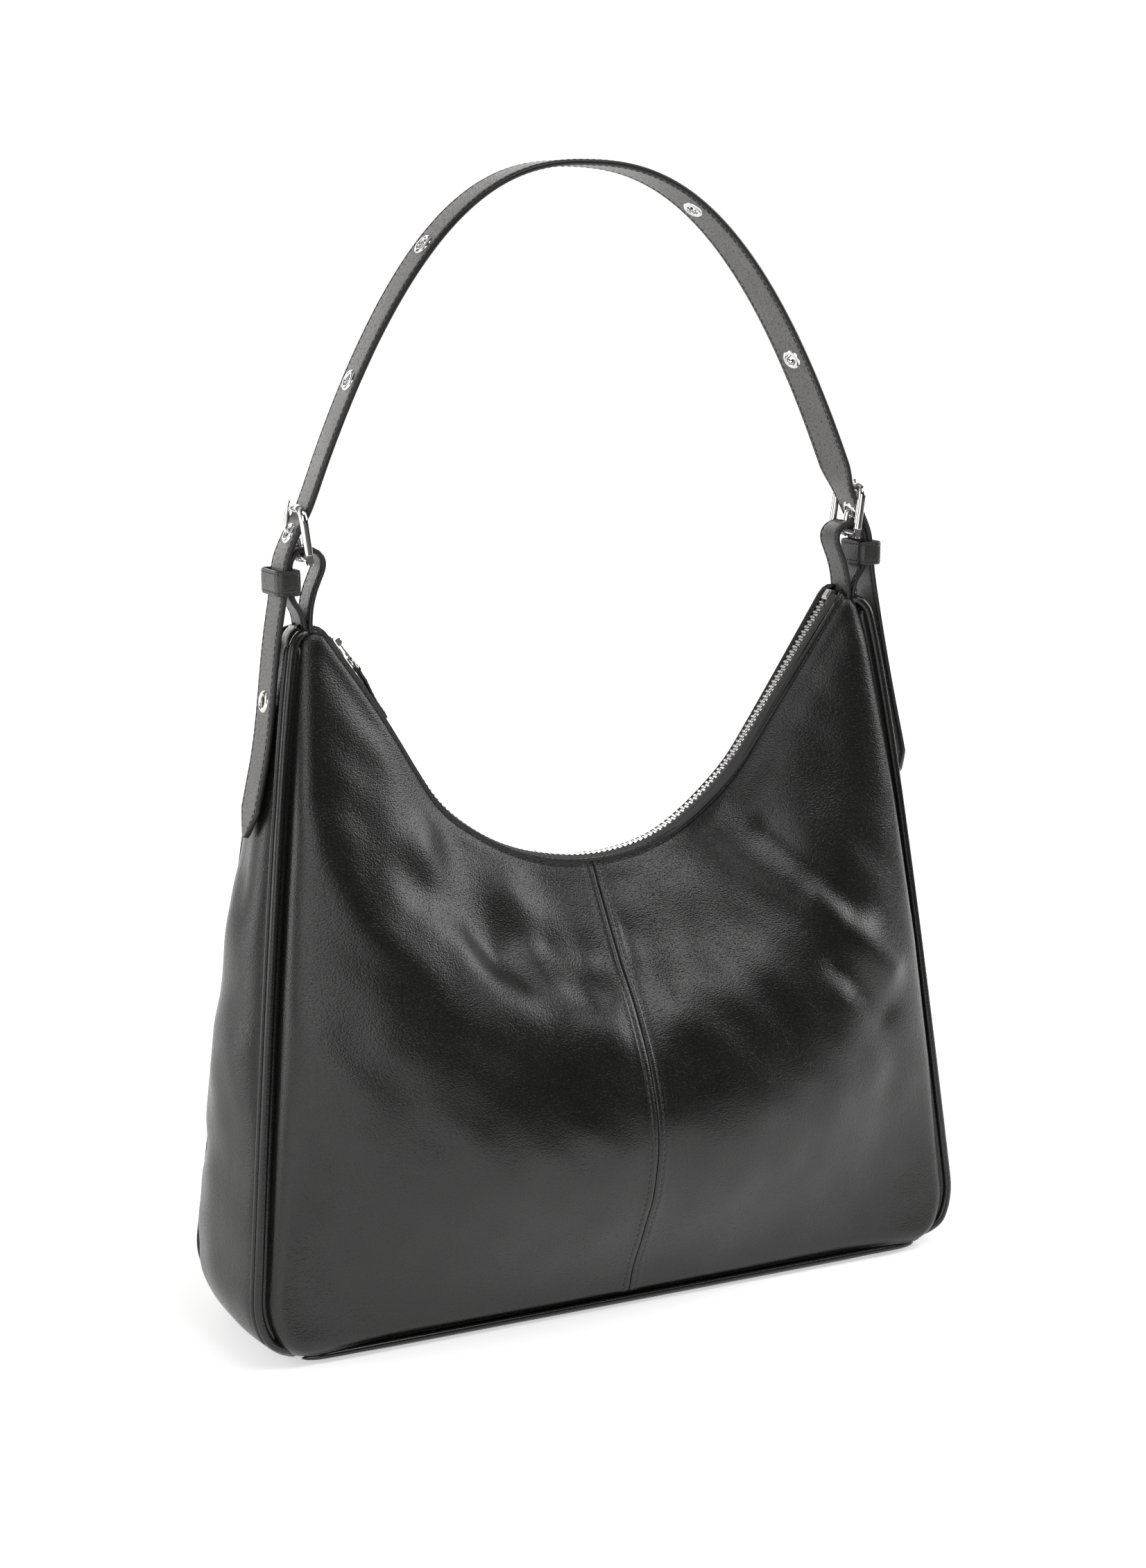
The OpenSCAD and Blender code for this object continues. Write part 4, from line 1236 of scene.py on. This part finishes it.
def make_prong(name, side):
    """Flattened pin wrapped round the heel bar, out through the eyelet and over the top bar."""
    line = [(0.4, 22.9), (1.0, 27.2), (1.9, 29.9), (4.3, 31.2), (6.4, 32.4), (7.0, 34.2), (6.5, 40),
            (6.0, 43.5), (5.2, 46.3)]
    flat = through(line, 8)
    path = np.stack([flat[:, 0], 0 * flat[:, 0], flat[:, 1]], 1)
    along = arc_lengths(path) / arc_lengths(path)[-1]
    scale = 1 - 0.35 * ramp(along, 0.75, 1)
    scale[-1] *= 0.6
    outline = rounded(-1.5, -1, 1.5, 1, 0.85, 4)
    pin = sweep(path, outline[None] * scale[:, None, None], (0, 1, 0))
    turn = full_turn(32)
    heel = HEEL - [PIVOT_X, 0, PIVOT_Z]
    ring = np.stack([heel[0] + 2.6 * np.cos(turn), 0 * turn, heel[2] + 2.6 * np.sin(turn)], 1)
    loop = sweep(ring, rounded(-1.5, -0.68, 1.5, 0.68, 0.5, 3), (0, 1, 0), closed=True)
    p = moved(joined([pin, loop]), None, (PIVOT_X, 0, PIVOT_Z))
    metal(name + "_metal", [on_side(p, side)], name, name, 40)


KEEPER_H = 12
KEEPER_WALL = 1.4
KEEPER_STITCH = 1.7  # from its rims to their stitches
KEEPER_DROP = 1.4


def make_keeper(name, side):
    """Leather loop, sewn near its top and bottom."""
    low, high = box_mm("keeper_right")
    # the leather hugs the strap closer and hangs a little lower than the plain CAD loop
    low[0] += 0.5
    high[0] -= 2.3
    centre_z = (low[2] + high[2]) / 2 - KEEPER_DROP
    grow = KEEPER_WALL / 2
    outline = rounded(low[0] + grow, low[1] + grow, high[0] - grow, high[1] - grow, 2.6, 7)
    path = resample(np.vstack([outline, outline[:1]]), 1.0)[:-1]
    path = np.column_stack([path, np.full(len(path), centre_z)])
    points, numbers = band(KEEPER_H, KEEPER_WALL, crown=0.2, groove=0.2, stitch_in=KEEPER_STITCH)
    loop = sweep(path, points, (0, 0, 1), closed=True, material=numbers)
    # the outline runs anticlockwise, so the cross product points inwards
    outward = -unit(np.cross((0, 0, 1), unit(np.roll(path, -1, 0) - np.roll(path, 1, 0))))
    parts = [loop]
    for z in (-1, 1):
        row = path + outward * (KEEPER_WALL / 2 + 0.02) + [0, 0, z * (KEEPER_H / 2 - KEEPER_STITCH)]
        closed = [np.vstack([a, a[:1]]) for a in (row, outward)]
        parts.append(stitches(*closed, STRAP_THREAD, length=2.2, gap=0.6, thick=0.45))
    p = joined(parts)
    if side < 0:
        middle = np.array([-(low[0] + high[0]) / 2, 0, 0])
        c, s = math.cos(TWIST), math.sin(TWIST)
        p = moved(mirrored(p, 0), None, -middle)
        p = moved(p, [[c, -s, 0], [s, c, 0], [0, 0, 1]], middle)
    return build(name + "_leather", [p], TRIM_MATERIALS, name, [name])


TAB_W = 18
TAB_T = 2.2
# Tab loop from its inner end in the peak, over the heel bar, to its outer end, from the pivot
TAB_LOOP = [(-1.3, -30), (-1.3, -18), (-1.4, -10), (-2.1, -3), (-3.9, 4), (-6.3, 10), (-8.3, 15),
            (-8.2, 19.5), (-5, 23), (0.2, 24.2), (5, 22.4), (7.6, 18), (8.3, 12), (8.1, 6.5), (6.7, 0.8),
            (3.2, -4.8), (1.7, -10), (1.3, -18), (1.3, -30)]


def make_tab(name, side):
    flat = resample(through(TAB_LOOP, 8), 1.1, 1)
    path = np.stack([PIVOT_X + flat[:, 0], 0 * flat[:, 0], PIVOT_Z + flat[:, 1]], 1)
    points, numbers = band(TAB_W, TAB_T)
    along = arc_lengths(path)
    turn = (side < 0) * 0.5 * TWIST * bump(along - 0.66 * along[-1], 16)
    across = np.stack([np.sin(turn), np.cos(turn), 0 * turn], 1)
    loop = sweep(path, points, across, material=numbers)
    outward = unit(np.cross(across, unit(np.gradient(path, axis=0))))
    rows = []
    for y in (-1, 1):
        for face in (-1, 1):
            row = path + outward * face * (TAB_T / 2 - 0.1) + across * y * (TAB_W / 2 - STITCH_IN)
            rows.append(stitches(row, outward * face, STRAP_THREAD, length=2.6, gap=0.7))
    obj = build(name + "_leather", [on_side(loop, side)], TRIM_MATERIALS, None, [name])
    slot = moved(plate(rounded(-3.5, -2.3, 6, 2.3, 2.2), 19, 29, 0.2), None, (PIVOT_X, 0, PIVOT_Z))
    cut(obj, on_side(slot, side))
    sewn = build(name + "_stitches", [on_side(joined(rows), side)], TRIM_MATERIALS, None)
    for piece in (obj, sewn):
        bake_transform(piece)


make_strap()
for side, hand in ((1, "right"), (-1, "left")):
    make_buckle(f"buckle_{hand}", side)
    make_prong(f"prong_{hand}", side)
    make_keeper(f"keeper_{hand}", side)
    make_tab(f"tab_{hand}", side)


# ---------- Floor, light and camera ----------


def make_floor():
    """Wide pale table that glows with painted light, more further out, which lights the bag a little from
    below. What the bag mirrors of it is painted dark in front: painted shade.
    """
    n = Nodes("floor_paper")
    place = n.add("TexCoord").outputs["Object"]
    split = n.add("SeparateXYZ", {0: place})
    slant = n.math("MULTIPLY_ADD", split.outputs[0], -0.45, split.outputs[1])
    # painted shade: the floor is darkened towards the front, except where the camera sees it directly
    lit = n.spread(slant, -1.0, -0.62, 0.1, 1)
    lit = n.math("MAXIMUM", lit, n.add("LightPath").outputs["Is Camera Ray"])
    paper = n.colours(n.noise(place, 3, 2), (0.86, 0.86, 0.86), (0.9, 0.9, 0.9))
    shade = n.add("Mix", {"Factor": lit}, data_type="RGBA")
    shade.inputs["A"].default_value = (0.05, 0.05, 0.05, 1)
    n.put(shade, "B", paper)
    n.set(Base_Color=shade.outputs["Result"],
          Roughness=n.spread(n.noise(place, 40, 2), 0.3, 0.7, 0.7, 0.8))
    away = n.add("VectorMath", {0: place}, operation="LENGTH").outputs["Value"]
    # the floor glows, more further out: painted light, with none where it is painted dark
    painted_glow = n.math("MULTIPLY", lit, n.spread(away, 0.5, 1.7, 0.5, 1))
    n.set(Specular_IOR_Level=0.1, Emission_Color=(1, 1, 1, 1), Emission_Strength=painted_glow)
    bpy.ops.mesh.primitive_circle_add(vertices=96, radius=12, fill_type="NGON", location=(0, 0, -0.0004))
    floor = bpy.context.object
    floor.name = "floor"
    floor.data.materials.append(n.material)


def softbox(name, place, aim, width, height, power):
    light = bpy.data.lights.new(name, "AREA")
    light.shape = "RECTANGLE"
    light.size, light.size_y = width, height
    light.energy = power
    obj = bpy.data.objects.new(name, light)
    obj.location = place
    obj.rotation_euler = (Vector(aim) - Vector(place)).to_track_quat("-Z", "Y").to_euler()
    bpy.context.scene.collection.objects.link(obj)


def make_world():
    """White room that is darker in front and behind, with a bright backdrop straight behind the bag."""
    n = Nodes("studio", "worlds")
    place = n.add("TexCoord").outputs["Generated"]

    def lobe(towards, start, end, far, near):
        """far away from a direction, changing to near as its cosine goes from start to end."""
        dot = n.add("VectorMath", {0: place, 1: Vector(towards).normalized()}, operation="DOT_PRODUCT")
        limits = {"From Min": start, "From Max": end, "To Min": far, "To Max": near}
        turned = n.add("MapRange", {"Value": dot.outputs["Value"], **limits},
                       interpolation_type="SMOOTHERSTEP")
        return turned.outputs["Result"]

    dim = n.math("MULTIPLY", lobe((0.4, -1, 0.05), -0.5, 0.25, 1.0, 0.03),
                 lobe((-0.1, 1, 0.15), 0.3, 0.75, 1.0, 0.2))
    room = n.math("ADD", dim, lobe((0.05, 1, 0.13), 0.86, 0.96, 0.0, 3.2))
    seen = n.add("LightPath").outputs["Is Camera Ray"]
    mix = n.add("Mix", {"Factor": seen, "A": room, "B": 1.05})
    bpy.context.scene.world = n.set(Color=(1, 0.995, 0.985, 1), Strength=mix.outputs["Result"])


CAMERA_PLACE = (-0.4995, -1.0709, 0.5024)
CAMERA_AZIMUTH = math.radians(24.69)  # turned this far from looking along +Y towards +X
CAMERA_PITCH = math.radians(11.69)  # and this far down
CAMERA_LENS = 55.4


def make_camera():
    data = bpy.data.cameras.new("camera")
    data.lens = CAMERA_LENS
    data.sensor_width = 36
    data.clip_end = 100
    camera = bpy.data.objects.new("camera", data)
    camera.location = CAMERA_PLACE
    camera.rotation_euler = (PI / 2 - CAMERA_PITCH, 0, -CAMERA_AZIMUTH)
    bpy.context.scene.collection.objects.link(camera)
    bpy.context.scene.camera = camera


make_floor()
make_world()
AIM = (0, 0, 0.22)
softbox("right", (1.9, -0.3, 1.15), AIM, 1.5, 1.2, 28)
softbox("left", (-1.3, -1.75, 0.85), AIM, 1.4, 1.3, 15)
softbox("left_back", (-2.0, 0.5, 0.7), AIM, 0.8, 1.4, 11)
softbox("overhead", (0.4, -1.0, 2.1), AIM, 1.4, 0.8, 16)
make_camera()
bpy.context.scene.view_settings.view_transform = "Standard"
bpy.context.scene.view_settings.look = "None"
